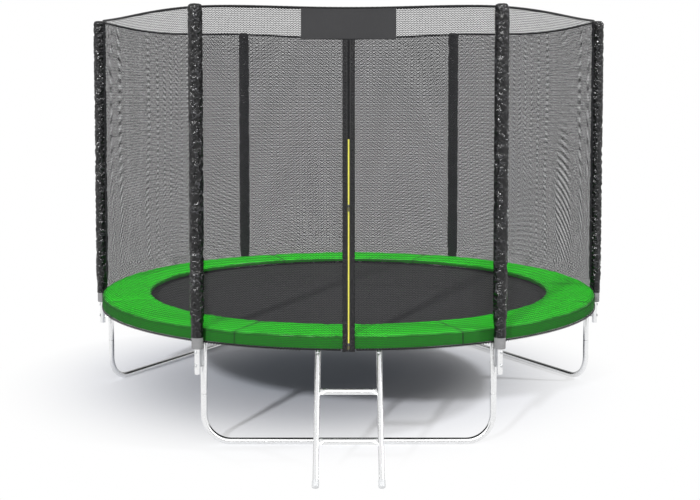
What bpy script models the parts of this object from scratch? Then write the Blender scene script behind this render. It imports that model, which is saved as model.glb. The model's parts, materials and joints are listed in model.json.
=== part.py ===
"""Round backyard trampoline with an outside safety net, three leg bases and a hook-on ladder.

Metres, +Z up. The ladder and the zipped door face -Y. The origin is on the ground, in the middle
of the footprint, so the trampoline's own axis stands a little behind it. Angles around the
trampoline are in degrees from the front and grow toward +X.
"""

from math import asin, atan, ceil, cos, degrees, floor, radians, sin, sqrt, tau

import bmesh
import bpy
from mathutils import Vector

# ---- Fits shared by the whole part ----
GAP = 0.0003              # between faces that touch on the real product
SLIDE_FIT = 0.0003        # between a tube's swaged end and the bore it slides into
HOLE_FIT = 0.0004         # all round a bolt in its hole
SWAGE_LENGTH = 0.055      # how far a reduced tube end goes into its neighbour
NECK_LENGTH = 0.006       # of each step in the bore behind a reduced end
CUT_REACH = 0.003         # of a punch or drill beyond the wall it goes through
TUBE_SIDES = 12           # sides of a modelled round tube
SLIM_SIDES = 8            # sides of the rails and of the pole tubes inside their padding
FACET_STEP = 7.5          # degrees between the corners of everything that runs round the ring
SMOOTH_ANGLE = radians(40)  # flatter edges than this are shaded round

# ---- Ring of rails ----
RING_RADIUS = 1.545       # to the rails' centre line
RING_HEIGHT = 0.590       # of the rails' centre line
RAIL_RADIUS = 0.0175
RAIL_WALL = 0.0015
RAIL_COUNT = 6
SOCKET_LENGTH = 0.045     # leg socket below the rail
SOCKET_ROOT = 0.006       # depth below the rail's centre line where the socket is welded in

# ---- Legs ----
LEG_RADIUS = 0.0175
LEG_WALL = 0.0015
LEG_SEAM_HEIGHT = 0.274   # where the base ends and the upright begins
LEG_BEND_RADIUS = 0.146   # centre line of the two bends of a base
LEG_BEND_STEPS = 4
BASE_COUNT = 3

# ---- Enclosure poles ----
POLE_OFFSET = 0.055       # from the legs' centre lines out to the poles'
POLE_RADIUS = 0.016
POLE_WALL = 0.0015
POLE_FOOT_DROP = 0.199    # of the poles' feet below the rails' centre line
POLE_SEAM_HEIGHT = 1.330
POLE_TOP_HEIGHT = 2.325
FOAM_RADIUS = 0.0305
FOAM_FOOT_DROP = 0.062    # of the foam's foot below the rails' centre line
COVER_FOOT_DROP = 0.001   # of the cover's foot below the rails' centre line
COVER_CUFF_RADIUS = 0.0340
COVER_RADIUS = 0.0395
COVER_WALL = 0.0020
COVER_CUFF_LENGTH = 0.050
COVER_FLARE_LENGTH = 0.090
COVER_TOP_RISE = 0.017    # of the cover's top above the pole's end
COVER_SHOULDER = 0.030    # height of the rounded top
COVER_CROWN_RADIUS = 0.026
COVER_BEND_RADIUS = 0.035  # where the rounded top bends over
COVER_BEND_DROP = 0.009    # of that bend below the top

# ---- Bolted joint between a pole and its leg ----
BOLT_DROPS = (0.151, 0.080)  # below the rails' centre line, the lower bolt first
BOLT_RADIUS = 0.004
BOLT_HEAD_RADIUS = 0.0075
BOLT_HEAD_LENGTH = 0.005
BOLT_SIDES = 6
SADDLE_WIDTH = 0.024
SADDLE_MARGIN = 0.011     # of the saddle block beyond the outer bolts

# ---- Mat and springs ----
MAT_INSET = 0.210         # from the rails' centre line in to the mat's edge
MAT_THICKNESS = 0.0015
WEBBING_WIDTH = 0.050
WEBBING_THICKNESS = 0.005
SPRING_COUNT = 48
SPRING_FIRST_ANGLE = 3.75
SPRING_COIL_RADIUS = 0.012
SPRING_COIL_START = 0.030  # from the mat's edge to the coil
SPRING_COIL_LENGTH = 0.138
SPRING_TAPER = 0.010
SPRING_PIN_RADIUS = 0.002
SPRING_PIN_REACH = 0.005  # of the hook's end inside the rail
SPRING_HOLE_FIT = 0.0003  # all round the hook in the rail
SPRING_SIDES = 4
HOOP_SIZE = 0.004
HOOP_CLEARANCE = 0.0005

# ---- Spring pad ----
PAD_REACH = 0.280         # of the pad inside the rails' centre line
PAD_THICKNESS = 0.030
PAD_CHAMFER = 0.009
SKIRT_THICKNESS = 0.0015
SKIRT_CLEARANCE = 0.0008  # between the skirt and the legs' flats
SKIRT_DROP = 0.025        # of the skirt's foot below the rails' centre line

# ---- Safety net ----
NET_INSET = 0.0765        # from the poles' centre lines in to the net
NET_THICKNESS = 0.001
NET_HEM_DROP = 0.034      # of the net's hem below the rails' centre line
NET_FLARE_RISE = 0.110    # over the rails to where the net has come in to its own radius
NET_TOP_RISE = 0.005      # of the net's top edge above the poles' ends
NET_SAG = 0.022           # of the top edge midway between two poles
NET_CORNER_SHARE = 0.30   # how much of the pull toward a pole reaches the next corner
NET_FRONT_HALF_ANGLE = 30  # over which the straight door edge fades into the round net
CORD_RADIUS = 0.003
CORD_SIDES = 5

# ---- Door zip ----
DOOR_TAPE_WIDTH = 0.0645
DOOR_TAPE_THICKNESS = 0.002
DOOR_TAPE_DROP = 0.005    # of the tape's foot below the net's hem
DOOR_TOP_GAP = 0.002      # from the banner's foot down to the door's top
ZIP_FOOT_RISE = 0.006     # of the chain's foot above the net's hem
ZIP_TOP_HEIGHT = 1.641
CHAIN_NECK_WIDTH = 0.003
CHAIN_NECK_DEPTH = 0.0018
CHAIN_WIDTH = 0.007
CHAIN_DEPTH = 0.003
SLIDER_LENGTH = 0.016
SLIDER_WALL = 0.0015
SLIDER_LIP = 0.0011       # thickness of the lips behind the chain
UPPER_SLIDER_HEIGHT = 1.299
LOWER_SLIDER_RISE = 0.0315  # of the lower slider above the net's hem
PULL_LENGTH = 0.032
PULL_WIDTH = 0.006
PULL_THICKNESS = 0.0015
PULL_ROOT = 0.0008        # of the pull inside the slider's front

# ---- Banner ----
BANNER_HALF_WIDTH = 0.2435
BANNER_THICKNESS = 0.001
BANNER_HEIGHT = 0.154
BANNER_TOP_MARGIN = 0.004  # below the net's top edge

# ---- Ladder ----
LADDER_HALF_WIDTH = 0.1575
LADDER_LEAN = radians(44.5)
LADDER_RAIL_RADIUS = 0.015
LADDER_WALL = 0.0015
LADDER_RAIL_PAST = 0.012  # of the rail beyond the point nearest to the ring
HOOK_CLEARANCE = 0.0015   # between the hook and the round of the ring
HOOK_THICKNESS = 0.004
HOOK_WIDTH = 0.022
HOOK_TONGUE = 0.045
HOOK_WELD = 0.001
HOOK_TIP_ANGLE = radians(60)
HOOK_STEPS = 8
HOOK_POCKET_FIT = 0.0018
FOOT_RADIUS = 0.0175
FOOT_FLOOR = 0.004
FOOT_LENGTH = 0.035
FOOT_BEVEL = 0.003
RUNG_HEIGHTS = (0.1815, 0.3765)
RUNG_RADIUS = 0.015
RUNG_PINCH_TALL = 0.018
RUNG_PINCH_THIN = 0.0065
RUNG_PINCH_LENGTH = 0.028

# ---- Sizes worked out from the ones above ----
HALF_FACET = radians(180 / TUBE_SIDES)
HALF_SLIM_FACET = radians(180 / SLIM_SIDES)
RAIL_FLAT = RAIL_RADIUS * cos(HALF_SLIM_FACET)
SECTOR = 360 / RAIL_COUNT
POLE_ANGLES = [SECTOR * (index + 0.5) for index in range(RAIL_COUNT)]
BASE_ANGLES = [360 / BASE_COUNT * index for index in range(BASE_COUNT)]
POLE_CIRCLE = RING_RADIUS + POLE_OFFSET
NET_RADIUS = POLE_CIRCLE - NET_INSET
MAT_RADIUS = RING_RADIUS - MAT_INSET
PAD_INNER_RADIUS = RING_RADIUS - PAD_REACH
RAIL_BORE = RAIL_RADIUS - RAIL_WALL
LEG_BORE = LEG_RADIUS - LEG_WALL
POLE_BORE = POLE_RADIUS - POLE_WALL
PAD_UNDERSIDE = RING_HEIGHT + RAIL_FLAT + GAP
PAD_TOP = PAD_UNDERSIDE + PAD_THICKNESS
LEG_FLAT = LEG_RADIUS * cos(HALF_FACET)
SKIRT_INNER_RADIUS = RING_RADIUS + max(RAIL_FLAT, LEG_FLAT) + SKIRT_CLEARANCE
SKIRT_OUTER_RADIUS = SKIRT_INNER_RADIUS + SKIRT_THICKNESS
NET_HEM_RADIUS = SKIRT_OUTER_RADIUS + GAP
SKIRT_FOOT_HEIGHT = RING_HEIGHT - SKIRT_DROP
POLE_FOOT_HEIGHT = RING_HEIGHT - POLE_FOOT_DROP
FOAM_FOOT_HEIGHT = RING_HEIGHT - FOAM_FOOT_DROP
COVER_FOOT_HEIGHT = RING_HEIGHT - COVER_FOOT_DROP
BOLT_HEIGHTS = [RING_HEIGHT - drop for drop in BOLT_DROPS]
NET_HEM_HEIGHT = RING_HEIGHT - NET_HEM_DROP
NET_FLARE_HEIGHT = RING_HEIGHT + NET_FLARE_RISE
NET_SKIRT_HEIGHT = PAD_TOP - PAD_CHAMFER
NET_TOP_HEIGHT = POLE_TOP_HEIGHT + NET_TOP_RISE
COVER_TOP_HEIGHT = POLE_TOP_HEIGHT + COVER_TOP_RISE
BANNER_FOOT_HEIGHT = NET_TOP_HEIGHT - NET_SAG - BANNER_TOP_MARGIN - BANNER_HEIGHT
DOOR_TOP_HEIGHT = BANNER_FOOT_HEIGHT - DOOR_TOP_GAP
DOOR_TAPE_FOOT_HEIGHT = NET_HEM_HEIGHT - DOOR_TAPE_DROP
ZIP_FOOT_HEIGHT = NET_HEM_HEIGHT + ZIP_FOOT_RISE
LOWER_SLIDER_HEIGHT = NET_HEM_HEIGHT + LOWER_SLIDER_RISE
DOOR_SLOPE = (NET_HEM_RADIUS - NET_RADIUS) / (DOOR_TOP_HEIGHT - NET_SKIRT_HEIGHT)
DOOR_LEAN = atan(DOOR_SLOPE)
DOOR_SLOT_HALF = DOOR_TAPE_WIDTH / 2 + GAP
NET_TOUCH_RADIUS = POLE_CIRCLE - COVER_RADIUS - GAP - NET_THICKNESS
HOOK_INNER_RADIUS = RAIL_RADIUS + HOOK_CLEARANCE
HOOK_OUTER_RADIUS = HOOK_INNER_RADIUS + HOOK_THICKNESS
LADDER_RAIL_OFFSET = HOOK_OUTER_RADIUS - HOOK_WELD + LADDER_RAIL_RADIUS


# ---- Places ----

def around(angle, radius, height):
    """The point at an angle from the front, a radius from the axis and a height."""
    turn = radians(angle)
    return Vector((radius * sin(turn), -radius * cos(turn), height))


def faceted(angle, radius, height):
    """Like around, but on the straight facets that join the ring's corners."""
    low = floor(angle / FACET_STEP) * FACET_STEP
    share = (angle - low) / FACET_STEP
    return around(low, radius, height).lerp(around(low + FACET_STEP, radius, height), share)


def facet_radius(angle, radius):
    """Distance from the axis to the facet between the corners that lie at a radius."""
    return faceted(angle, radius, 0).length


def corner_angles(start=0.0, end=360.0):
    """Angles of the ring's corners from start up to but without end."""
    return [start + FACET_STEP * step for step in range(round((end - start) / FACET_STEP))]


def ring_axis_distance(x):
    """How far in front of the axis the rails' centre line passes at sideways place x."""
    corners = [around(angle, RING_RADIUS, 0) for angle in corner_angles(-90, 90)]
    for left, right in zip(corners, corners[1:]):
        if left.x <= x <= right.x:
            return -left.lerp(right, (x - left.x) / (right.x - left.x)).y
    raise ValueError("the ladder's hooks lie beyond the front rails")


HOOK_EDGES = [LADDER_HALF_WIDTH - HOOK_WIDTH / 2, LADDER_HALF_WIDTH, LADDER_HALF_WIDTH + HOOK_WIDTH / 2]
HOOK_EDGE_DISTANCES = [ring_axis_distance(x) for x in HOOK_EDGES]
HINGE_DISTANCE = (min(HOOK_EDGE_DISTANCES) + max(HOOK_EDGE_DISTANCES)) / 2
FOOT_END_HEIGHT = FOOT_RADIUS * sin(LADDER_LEAN)
FOOT_END_DISTANCE = HINGE_DISTANCE + (
    (RING_HEIGHT - FOOT_END_HEIGHT) * sin(LADDER_LEAN) - LADDER_RAIL_OFFSET) / cos(LADDER_LEAN)
FRONT_REACH = FOOT_END_DISTANCE + FOOT_RADIUS * cos(LADDER_LEAN)
REAR_REACH = NET_HEM_RADIUS + NET_THICKNESS
AXIS_Y = (FRONT_REACH - REAR_REACH) / 2


# ---- Meshes ----

def clean_mesh(name, build):
    """Turn a filled bmesh into a mesh whose faces all point outward."""
    bmesh.ops.recalc_face_normals(build, faces=build.faces[:])
    mesh = bpy.data.meshes.new(name)
    build.to_mesh(mesh)
    build.free()
    mesh.shade_smooth()
    mesh.set_sharp_from_angle(angle=SMOOTH_ANGLE)
    return mesh


def loft(name, rings, endless=False):
    """Skin a row of equally long rings of points; the ends are filled unless the row is endless."""
    build = bmesh.new()
    skins = [[build.verts.new(point) for point in ring] for ring in rings]
    pairs = list(zip(skins, skins[1:]))
    if endless:
        pairs.append((skins[-1], skins[0]))
    else:
        build.faces.new(skins[0][::-1])
        build.faces.new(skins[-1])
    for near, far in pairs:
        for index in range(len(near)):
            following = (index + 1) % len(near)
            build.faces.new((near[index], near[following], far[following], far[index]))
    return clean_mesh(name, build)


def circle(centre, across, up, radius, sides=TUBE_SIDES, turn=0.0):
    """Corners of a round section; turn is the angle of its first corner."""
    corners = []
    for side in range(sides):
        angle = turn + tau * side / sides
        corners.append(centre + radius * (cos(angle) * across + sin(angle) * up))
    return corners


def upright_circle(centre, radius, sides=TUBE_SIDES):
    """A level section with a flat, not a corner, toward the trampoline's axis."""
    return circle(centre, Vector((1, 0, 0)), Vector((0, 1, 0)), radius, sides, radians(180 / sides))


def upright_tube(name, distance, outer, bore, sides=TUBE_SIDES):
    """A hollow upright at a distance in front of the axis, from (radius, height) lists."""
    walls = [upright_circle(Vector((0, -distance, height)), radius, sides) for radius, height in outer]
    insides = [upright_circle(Vector((0, -distance, height)), radius, sides) for radius, height in bore]
    return loft(name, walls + insides[::-1], endless=True)


def box(name, low, high):
    """A plain block between two opposite corners."""
    rings = []
    for height in (low[2], high[2]):
        rings.append([Vector((low[0], low[1], height)), Vector((high[0], low[1], height)),
                      Vector((high[0], high[1], height)), Vector((low[0], high[1], height))])
    return loft(name, rings)


def combined(mesh, tool, operation):
    """The mesh after a Boolean with a tool mesh; both are taken away."""
    subject = bpy.data.objects.new(mesh.name, mesh)
    cutter = bpy.data.objects.new(tool.name, tool)
    for item in (subject, cutter):
        bpy.context.scene.collection.objects.link(item)
    change = subject.modifiers.new("Combine", "BOOLEAN")
    change.operation = operation
    change.object = cutter
    graph = bpy.context.evaluated_depsgraph_get()
    result = bpy.data.meshes.new_from_object(subject.evaluated_get(graph))
    for item in (subject, cutter):
        bpy.data.objects.remove(item)
    result.name = mesh.name
    bpy.data.meshes.remove(mesh)
    bpy.data.meshes.remove(tool)
    return result


def merged(name, meshes):
    """Put several separate meshes into one, as the tool of a Boolean."""
    build = bmesh.new()
    for mesh in meshes:
        build.from_mesh(mesh)
        bpy.data.meshes.remove(mesh)
    return clean_mesh(name, build)


# ---- Objects and materials ----

def material(name, colour, roughness, metallic):
    """A Principled material that every part of one kind shares."""
    made = bpy.data.materials.get(name) or bpy.data.materials.new(name)
    made.use_nodes = True
    shader = made.node_tree.nodes["Principled BSDF"]
    shader.inputs["Base Color"].default_value = (*colour, 1.0)
    shader.inputs["Roughness"].default_value = roughness
    shader.inputs["Metallic"].default_value = metallic
    return made


def galvanised_steel():
    """Bright zinc-coated tube."""
    return material("galvanised_steel", (0.72, 0.73, 0.75), 0.28, 1.0)


def zinc_hardware():
    """Plated bolts, nuts and saddles."""
    return material("zinc_hardware", (0.60, 0.61, 0.63), 0.32, 1.0)


def spring_steel():
    """Plated spring wire."""
    return material("spring_steel", (0.55, 0.56, 0.58), 0.30, 1.0)


def grey_foam():
    """Closed-cell sleeve foam."""
    return material("grey_foam", (0.42, 0.42, 0.43), 0.90, 0.0)


def black_vinyl():
    """Gathered vinyl of the pole covers."""
    return material("black_vinyl", (0.035, 0.035, 0.038), 0.30, 0.0)


def green_vinyl():
    """Top and skirt of the spring pad."""
    return material("green_vinyl", (0.035, 0.42, 0.022), 0.42, 0.0)


def black_mesh():
    """Woven jumping mat."""
    return material("black_mesh", (0.040, 0.040, 0.043), 0.75, 0.0)


def net_mesh():
    """Knitted net of the enclosure."""
    return material("net_mesh", (0.090, 0.090, 0.095), 0.70, 0.0)


def black_webbing():
    """Tapes and cord sewn to the net."""
    return material("black_webbing", (0.022, 0.022, 0.024), 0.60, 0.0)


def banner_cloth():
    """Plain dark panel at the top of the door."""
    return material("banner_cloth", (0.060, 0.060, 0.064), 0.55, 0.0)


def slider_metal():
    """Dark lacquered zip sliders."""
    return material("slider_metal", (0.030, 0.030, 0.032), 0.35, 0.6)


def foot_plastic():
    """Pale caps under the ladder."""
    return material("foot_plastic", (0.78, 0.78, 0.77), 0.45, 0.0)


def empty(name, location, parent=None, rotation=(0.0, 0.0, 0.0)):
    """A guide that carries other objects."""
    guide = bpy.data.objects.new(name, None)
    bpy.context.scene.collection.objects.link(guide)
    guide.location = location
    guide.rotation_euler = rotation
    guide.parent = parent
    return guide


def place(name, mesh, finish, parent, angle=0.0, location=(0.0, 0.0, 0.0)):
    """Make one named object of a mesh, turned by an angle about its parent's upright axis."""
    if not mesh.materials:
        mesh.materials.append(finish)
    made = bpy.data.objects.new(name, mesh)
    bpy.context.scene.collection.objects.link(made)
    made.parent = parent
    made.location = location
    made.rotation_euler = (0.0, 0.0, radians(angle))
    return made


# ---- Frame ----

def rail_section(angle, radius):
    """Section of the rail tube at an angle, on the facets of the ring."""
    def corners(at):
        return circle(around(at, RING_RADIUS, RING_HEIGHT), around(at, 1, 0), Vector((0, 0, 1)), radius,
                      SLIM_SIDES, HALF_SLIM_FACET)

    low = floor(angle / FACET_STEP) * FACET_STEP
    share = (angle - low) / FACET_STEP
    return [a.lerp(b, share) for a, b in zip(corners(low), corners(low + FACET_STEP))]


def rail_tube():
    """A sixth of the ring, with its far end reduced to enter the next rail."""
    half = SECTOR / 2
    swage = degrees(SWAGE_LENGTH / RING_RADIUS)
    neck = degrees(NECK_LENGTH / RING_RADIUS)
    reduced = RAIL_BORE - SLIDE_FIT
    corners = corner_angles(-half, half)
    corners[0] += degrees(GAP / RING_RADIUS)
    walls = [rail_section(angle, RAIL_RADIUS) for angle in corners + [half]]
    walls += [rail_section(half, reduced), rail_section(half + swage, reduced)]
    insides = [rail_section(angle, RAIL_BORE) for angle in corners]
    insides.append(rail_section(half - 2 * neck, RAIL_BORE))
    insides.append(rail_section(half - neck, reduced - RAIL_WALL))
    insides.append(rail_section(half + swage, reduced - RAIL_WALL))
    return loft("top_rail", walls + insides[::-1], endless=True)


def rail_socket():
    """Stub under the rail that enters the leg upright."""
    radius = LEG_BORE - SLIDE_FIT
    top = RING_HEIGHT - SOCKET_ROOT
    foot = RING_HEIGHT - RAIL_RADIUS - SOCKET_LENGTH
    return upright_tube("socket", RING_RADIUS, [(radius, foot), (radius, top)],
                        [(radius - LEG_WALL, foot), (radius - LEG_WALL, top)])


def spring_angles(start, end):
    """Angles of the springs between two angles."""
    step = 360 / SPRING_COUNT
    first = ceil((start - SPRING_FIRST_ANGLE) / step)
    last = floor((end - SPRING_FIRST_ANGLE) / step)
    return [SPRING_FIRST_ANGLE + step * index for index in range(first, last + 1)]


def spring_holes(angles):
    """Square punches through the rail's inner wall, one for each spring hook."""
    half = SPRING_PIN_RADIUS + SPRING_HOLE_FIT
    punches = []
    for angle in angles:
        rings = []
        for depth in (RAIL_FLAT + CUT_REACH, RAIL_FLAT - RAIL_WALL - CUT_REACH):
            centre = around(angle, facet_radius(angle, RING_RADIUS) - depth, RING_HEIGHT)
            rings.append(circle(centre, around(angle + 90, 1, 0), Vector((0, 0, 1)),
                                half * sqrt(2), 4, radians(45)))
        punches.append(loft("punch", rings))
    return merged("punches", punches)


def build_rails(trampoline):
    """Six rails with their leg sockets and spring holes."""
    middle = POLE_ANGLES[0]
    angles = [angle - middle for angle in spring_angles(middle - SECTOR / 2, middle + SECTOR / 2)]
    mesh = combined(rail_tube(), rail_socket(), "UNION")
    mesh = combined(mesh, spring_holes(angles), "DIFFERENCE")
    for number, angle in enumerate(POLE_ANGLES, 1):
        place(f"top_rail_{number}", mesh, galvanised_steel(), trampoline, angle)


def base_path():
    """Centre points and directions along a leg base, from its left seam to its right seam."""
    floor_height = LEG_RADIUS * cos(HALF_FACET)
    half_span = RING_RADIUS * sin(radians(SECTOR / 2))
    distance = RING_RADIUS * cos(radians(SECTOR / 2))
    bend_x = half_span - LEG_BEND_RADIUS
    bend_z = floor_height + LEG_BEND_RADIUS
    path = [(Vector((-half_span, -distance, LEG_SEAM_HEIGHT)), Vector((0, 0, -1)))]
    for side, start in ((-1, 0), (1, LEG_BEND_STEPS)):
        for step in range(LEG_BEND_STEPS + 1):
            turn = radians(90 / LEG_BEND_STEPS * abs(start - step))
            point = Vector((side * (bend_x + LEG_BEND_RADIUS * cos(turn)), -distance,
                            bend_z - LEG_BEND_RADIUS * sin(turn)))
            path.append((point, Vector((sin(turn), 0, side * cos(turn)))))
    path.append((Vector((half_span, -distance, LEG_SEAM_HEIGHT)), Vector((0, 0, 1))))
    return path


def leg_section(point, direction, radius):
    """Section of a leg base with flats below and above."""
    across = Vector((0, 1, 0))
    return circle(point, across, direction.cross(across), radius, TUBE_SIDES, HALF_FACET)


def build_leg_bases(trampoline):
    """Three U-shaped bases with reduced ends that enter the uprights."""
    path = base_path()
    reduced = LEG_BORE - SLIDE_FIT
    rise = Vector((0, 0, SWAGE_LENGTH))
    neck = Vector((0, 0, NECK_LENGTH))
    (left, down), (right, up) = path[0], path[-1]
    walls = [leg_section(left + rise, down, reduced), leg_section(left, down, reduced)]
    walls += [leg_section(point, way, LEG_RADIUS) for point, way in path]
    walls += [leg_section(right, up, reduced), leg_section(right + rise, up, reduced)]
    insides = [leg_section(left + rise, down, reduced - LEG_WALL),
               leg_section(left - neck, down, reduced - LEG_WALL),
               leg_section(left - 2 * neck, down, LEG_BORE)]
    insides += [leg_section(point, way, LEG_BORE) for point, way in path[1:-1]]
    insides += [leg_section(right - 2 * neck, up, LEG_BORE),
                leg_section(right - neck, up, reduced - LEG_WALL),
                leg_section(right + rise, up, reduced - LEG_WALL)]
    mesh = loft("leg_base", walls + insides[::-1], endless=True)
    for number, angle in enumerate(BASE_ANGLES, 1):
        place(f"leg_base_{number}", mesh, galvanised_steel(), trampoline, angle)


def bolt_holes():
    """Drills that pass through both a leg upright and its pole."""
    drills = []
    for height in BOLT_HEIGHTS:
        rings = []
        for distance in (RING_RADIUS - LEG_RADIUS - CUT_REACH, POLE_CIRCLE + POLE_RADIUS + CUT_REACH):
            rings.append(circle(Vector((0, -distance, height)), Vector((1, 0, 0)), Vector((0, 0, 1)),
                                BOLT_RADIUS + HOLE_FIT, BOLT_SIDES, radians(180 / BOLT_SIDES)))
        drills.append(loft("drill", rings))
    return merged("drills", drills)


def build_leg_uprights(trampoline):
    """Six uprights between the bases and the rails."""
    foot = LEG_SEAM_HEIGHT + GAP
    top = RING_HEIGHT - RAIL_RADIUS - GAP
    mesh = upright_tube("leg_upright", RING_RADIUS, [(LEG_RADIUS, foot), (LEG_RADIUS, top)],
                        [(LEG_BORE, foot), (LEG_BORE, top)])
    mesh = combined(mesh, bolt_holes(), "DIFFERENCE")
    for number, angle in enumerate(POLE_ANGLES, 1):
        place(f"leg_upright_{number}", mesh, galvanised_steel(), trampoline, angle)


# ---- Enclosure poles ----

def build_poles(trampoline):
    """Lower and upper pole tubes, the lower one's top end reduced to enter the upper one."""
    reduced = POLE_BORE - SLIDE_FIT
    seam = POLE_SEAM_HEIGHT
    lower = upright_tube(
        "pole_lower", POLE_CIRCLE,
        [(POLE_RADIUS, POLE_FOOT_HEIGHT), (POLE_RADIUS, seam), (reduced, seam),
         (reduced, seam + SWAGE_LENGTH)],
        [(POLE_BORE, POLE_FOOT_HEIGHT), (POLE_BORE, seam - 2 * NECK_LENGTH),
         (reduced - POLE_WALL, seam - NECK_LENGTH), (reduced - POLE_WALL, seam + SWAGE_LENGTH)], SLIM_SIDES)
    lower = combined(lower, bolt_holes(), "DIFFERENCE")
    ends = (seam + GAP, POLE_TOP_HEIGHT)
    upper = upright_tube("pole_upper", POLE_CIRCLE, [(POLE_RADIUS, end) for end in ends],
                         [(POLE_BORE, end) for end in ends], SLIM_SIDES)
    for number, angle in enumerate(POLE_ANGLES, 1):
        place(f"pole_lower_{number}", lower, galvanised_steel(), trampoline, angle)
        place(f"pole_upper_{number}", upper, galvanised_steel(), trampoline, angle)


def build_pole_padding(trampoline):
    """Foam sleeve of each pole and the vinyl cover drawn over it."""
    ends = (FOAM_FOOT_HEIGHT, POLE_TOP_HEIGHT)
    foam_bore = (POLE_RADIUS + GAP) / cos(HALF_FACET)
    foam = upright_tube("pole_foam", POLE_CIRCLE, [(FOAM_RADIUS, end) for end in ends],
                        [(foam_bore, end) for end in ends])
    cuff_top = COVER_FOOT_HEIGHT + COVER_CUFF_LENGTH
    flare_top = cuff_top + COVER_FLARE_LENGTH
    shoulder = COVER_TOP_HEIGHT - COVER_SHOULDER
    cuff_bore = FOAM_RADIUS + GAP
    outer = [(COVER_CUFF_RADIUS, COVER_FOOT_HEIGHT), (COVER_CUFF_RADIUS, cuff_top),
             (COVER_RADIUS, flare_top), (COVER_RADIUS, shoulder),
             (COVER_BEND_RADIUS, COVER_TOP_HEIGHT - COVER_BEND_DROP),
             (COVER_CROWN_RADIUS, COVER_TOP_HEIGHT)]
    inner = [(cuff_bore, COVER_FOOT_HEIGHT), (cuff_bore, cuff_top), (COVER_RADIUS - COVER_WALL, flare_top),
             (COVER_RADIUS - COVER_WALL, shoulder), (FOAM_RADIUS + GAP, POLE_TOP_HEIGHT + GAP),
             (POLE_RADIUS, POLE_TOP_HEIGHT + GAP)]
    rings = [upright_circle(Vector((0, -POLE_CIRCLE, height)), radius)
             for radius, height in outer[::-1] + inner]
    cover = loft("pole_cover", rings)
    for number, angle in enumerate(POLE_ANGLES, 1):
        place(f"pole_foam_{number}", foam, grey_foam(), trampoline, angle)
        place(f"pole_cover_{number}", cover, black_vinyl(), trampoline, angle)


def bolt(height, outer_end, outer_seat, inner_seat, inner_end):
    """A headed bolt with its nut, turned about a level axis through pole and leg."""
    steps = [(BOLT_HEAD_RADIUS, outer_end), (BOLT_HEAD_RADIUS, outer_seat), (BOLT_RADIUS, outer_seat),
             (BOLT_RADIUS, inner_seat), (BOLT_HEAD_RADIUS, inner_seat), (BOLT_HEAD_RADIUS, inner_end)]
    rings = [circle(Vector((0, -distance, height)), Vector((1, 0, 0)), Vector((0, 0, 1)), radius,
                    BOLT_SIDES, radians(180 / BOLT_SIDES)) for radius, distance in steps]
    return loft("bolt", rings)


def build_pole_fixings(trampoline):
    """Two bolts and the saddle block that hold a pole off its leg, as one piece for each pole."""
    pole_flat = POLE_RADIUS * cos(HALF_SLIM_FACET)
    outer_seat = POLE_CIRCLE + pole_flat + GAP
    inner_seat = RING_RADIUS - LEG_FLAT - GAP
    bolts = [bolt(height, outer_seat + BOLT_HEAD_LENGTH, outer_seat, inner_seat,
                  inner_seat - BOLT_HEAD_LENGTH) for height in BOLT_HEIGHTS]
    saddle = box("pole_fixing",
                 (-SADDLE_WIDTH / 2, -(POLE_CIRCLE - pole_flat - GAP), BOLT_HEIGHTS[0] - SADDLE_MARGIN),
                 (SADDLE_WIDTH / 2, -(RING_RADIUS + LEG_FLAT + GAP), BOLT_HEIGHTS[1] + SADDLE_MARGIN))
    mesh = combined(saddle, merged("bolts", bolts), "UNION")
    for number, angle in enumerate(POLE_ANGLES, 1):
        place(f"pole_fixing_{number}", mesh, zinc_hardware(), trampoline, angle)


# ---- Mat, springs and pad ----

def turned(name, profile):
    """An endless ring whose section is a closed outline of (radius, height) points."""
    sections = [[around(angle, radius, height) for radius, height in profile]
                for angle in corner_angles()]
    return loft(name, sections, endless=True)


def build_mat(suspension):
    """Woven disc with a thick band of webbing round its edge."""
    inside = MAT_RADIUS - WEBBING_WIDTH
    half_sheet = MAT_THICKNESS / 2
    half_band = WEBBING_THICKNESS / 2
    steps = [(inside, -half_sheet), (inside, -half_band), (MAT_RADIUS, -half_band),
             (MAT_RADIUS, half_band), (inside, half_band), (inside, half_sheet)]
    rings = [[around(angle, radius, height) for angle in corner_angles()]
             for radius, height in steps]
    place("mat", loft("mat", rings), black_mesh(), suspension)


def spring(angle):
    """The outer shape of one coil spring, with a straight end toward the mat and one in the rail."""
    coil_start = MAT_RADIUS + SPRING_COIL_START
    coil_end = coil_start + SPRING_COIL_LENGTH
    hook_end = facet_radius(angle, RING_RADIUS) - RAIL_FLAT + RAIL_WALL + SPRING_PIN_REACH
    hook_start = facet_radius(angle, MAT_RADIUS + HOOP_CLEARANCE + HOOP_SIZE / 2)
    steps = [(SPRING_PIN_RADIUS, hook_start), (SPRING_COIL_RADIUS, coil_start),
             (SPRING_COIL_RADIUS, coil_end), (SPRING_PIN_RADIUS, coil_end + SPRING_TAPER),
             (SPRING_PIN_RADIUS, hook_end)]
    rings = [circle(around(angle, distance, 0), around(angle + 90, 1, 0), Vector((0, 0, 1)), radius,
                    SPRING_SIDES) for radius, distance in steps]
    return loft("spring", rings)


def build_springs(suspension):
    """All the springs, joined at the mat by the row of rings that they hook into."""
    half = HOOP_SIZE / 2
    near = MAT_RADIUS + HOOP_CLEARANCE
    hoop = turned("springs", [(near, -half), (near + HOOP_SIZE, -half), (near + HOOP_SIZE, half),
                              (near, half)])
    coils = merged("coils", [spring(angle) for angle in spring_angles(0, 360)])
    place("springs", combined(hoop, coils, "UNION"), spring_steel(), suspension)


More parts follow.
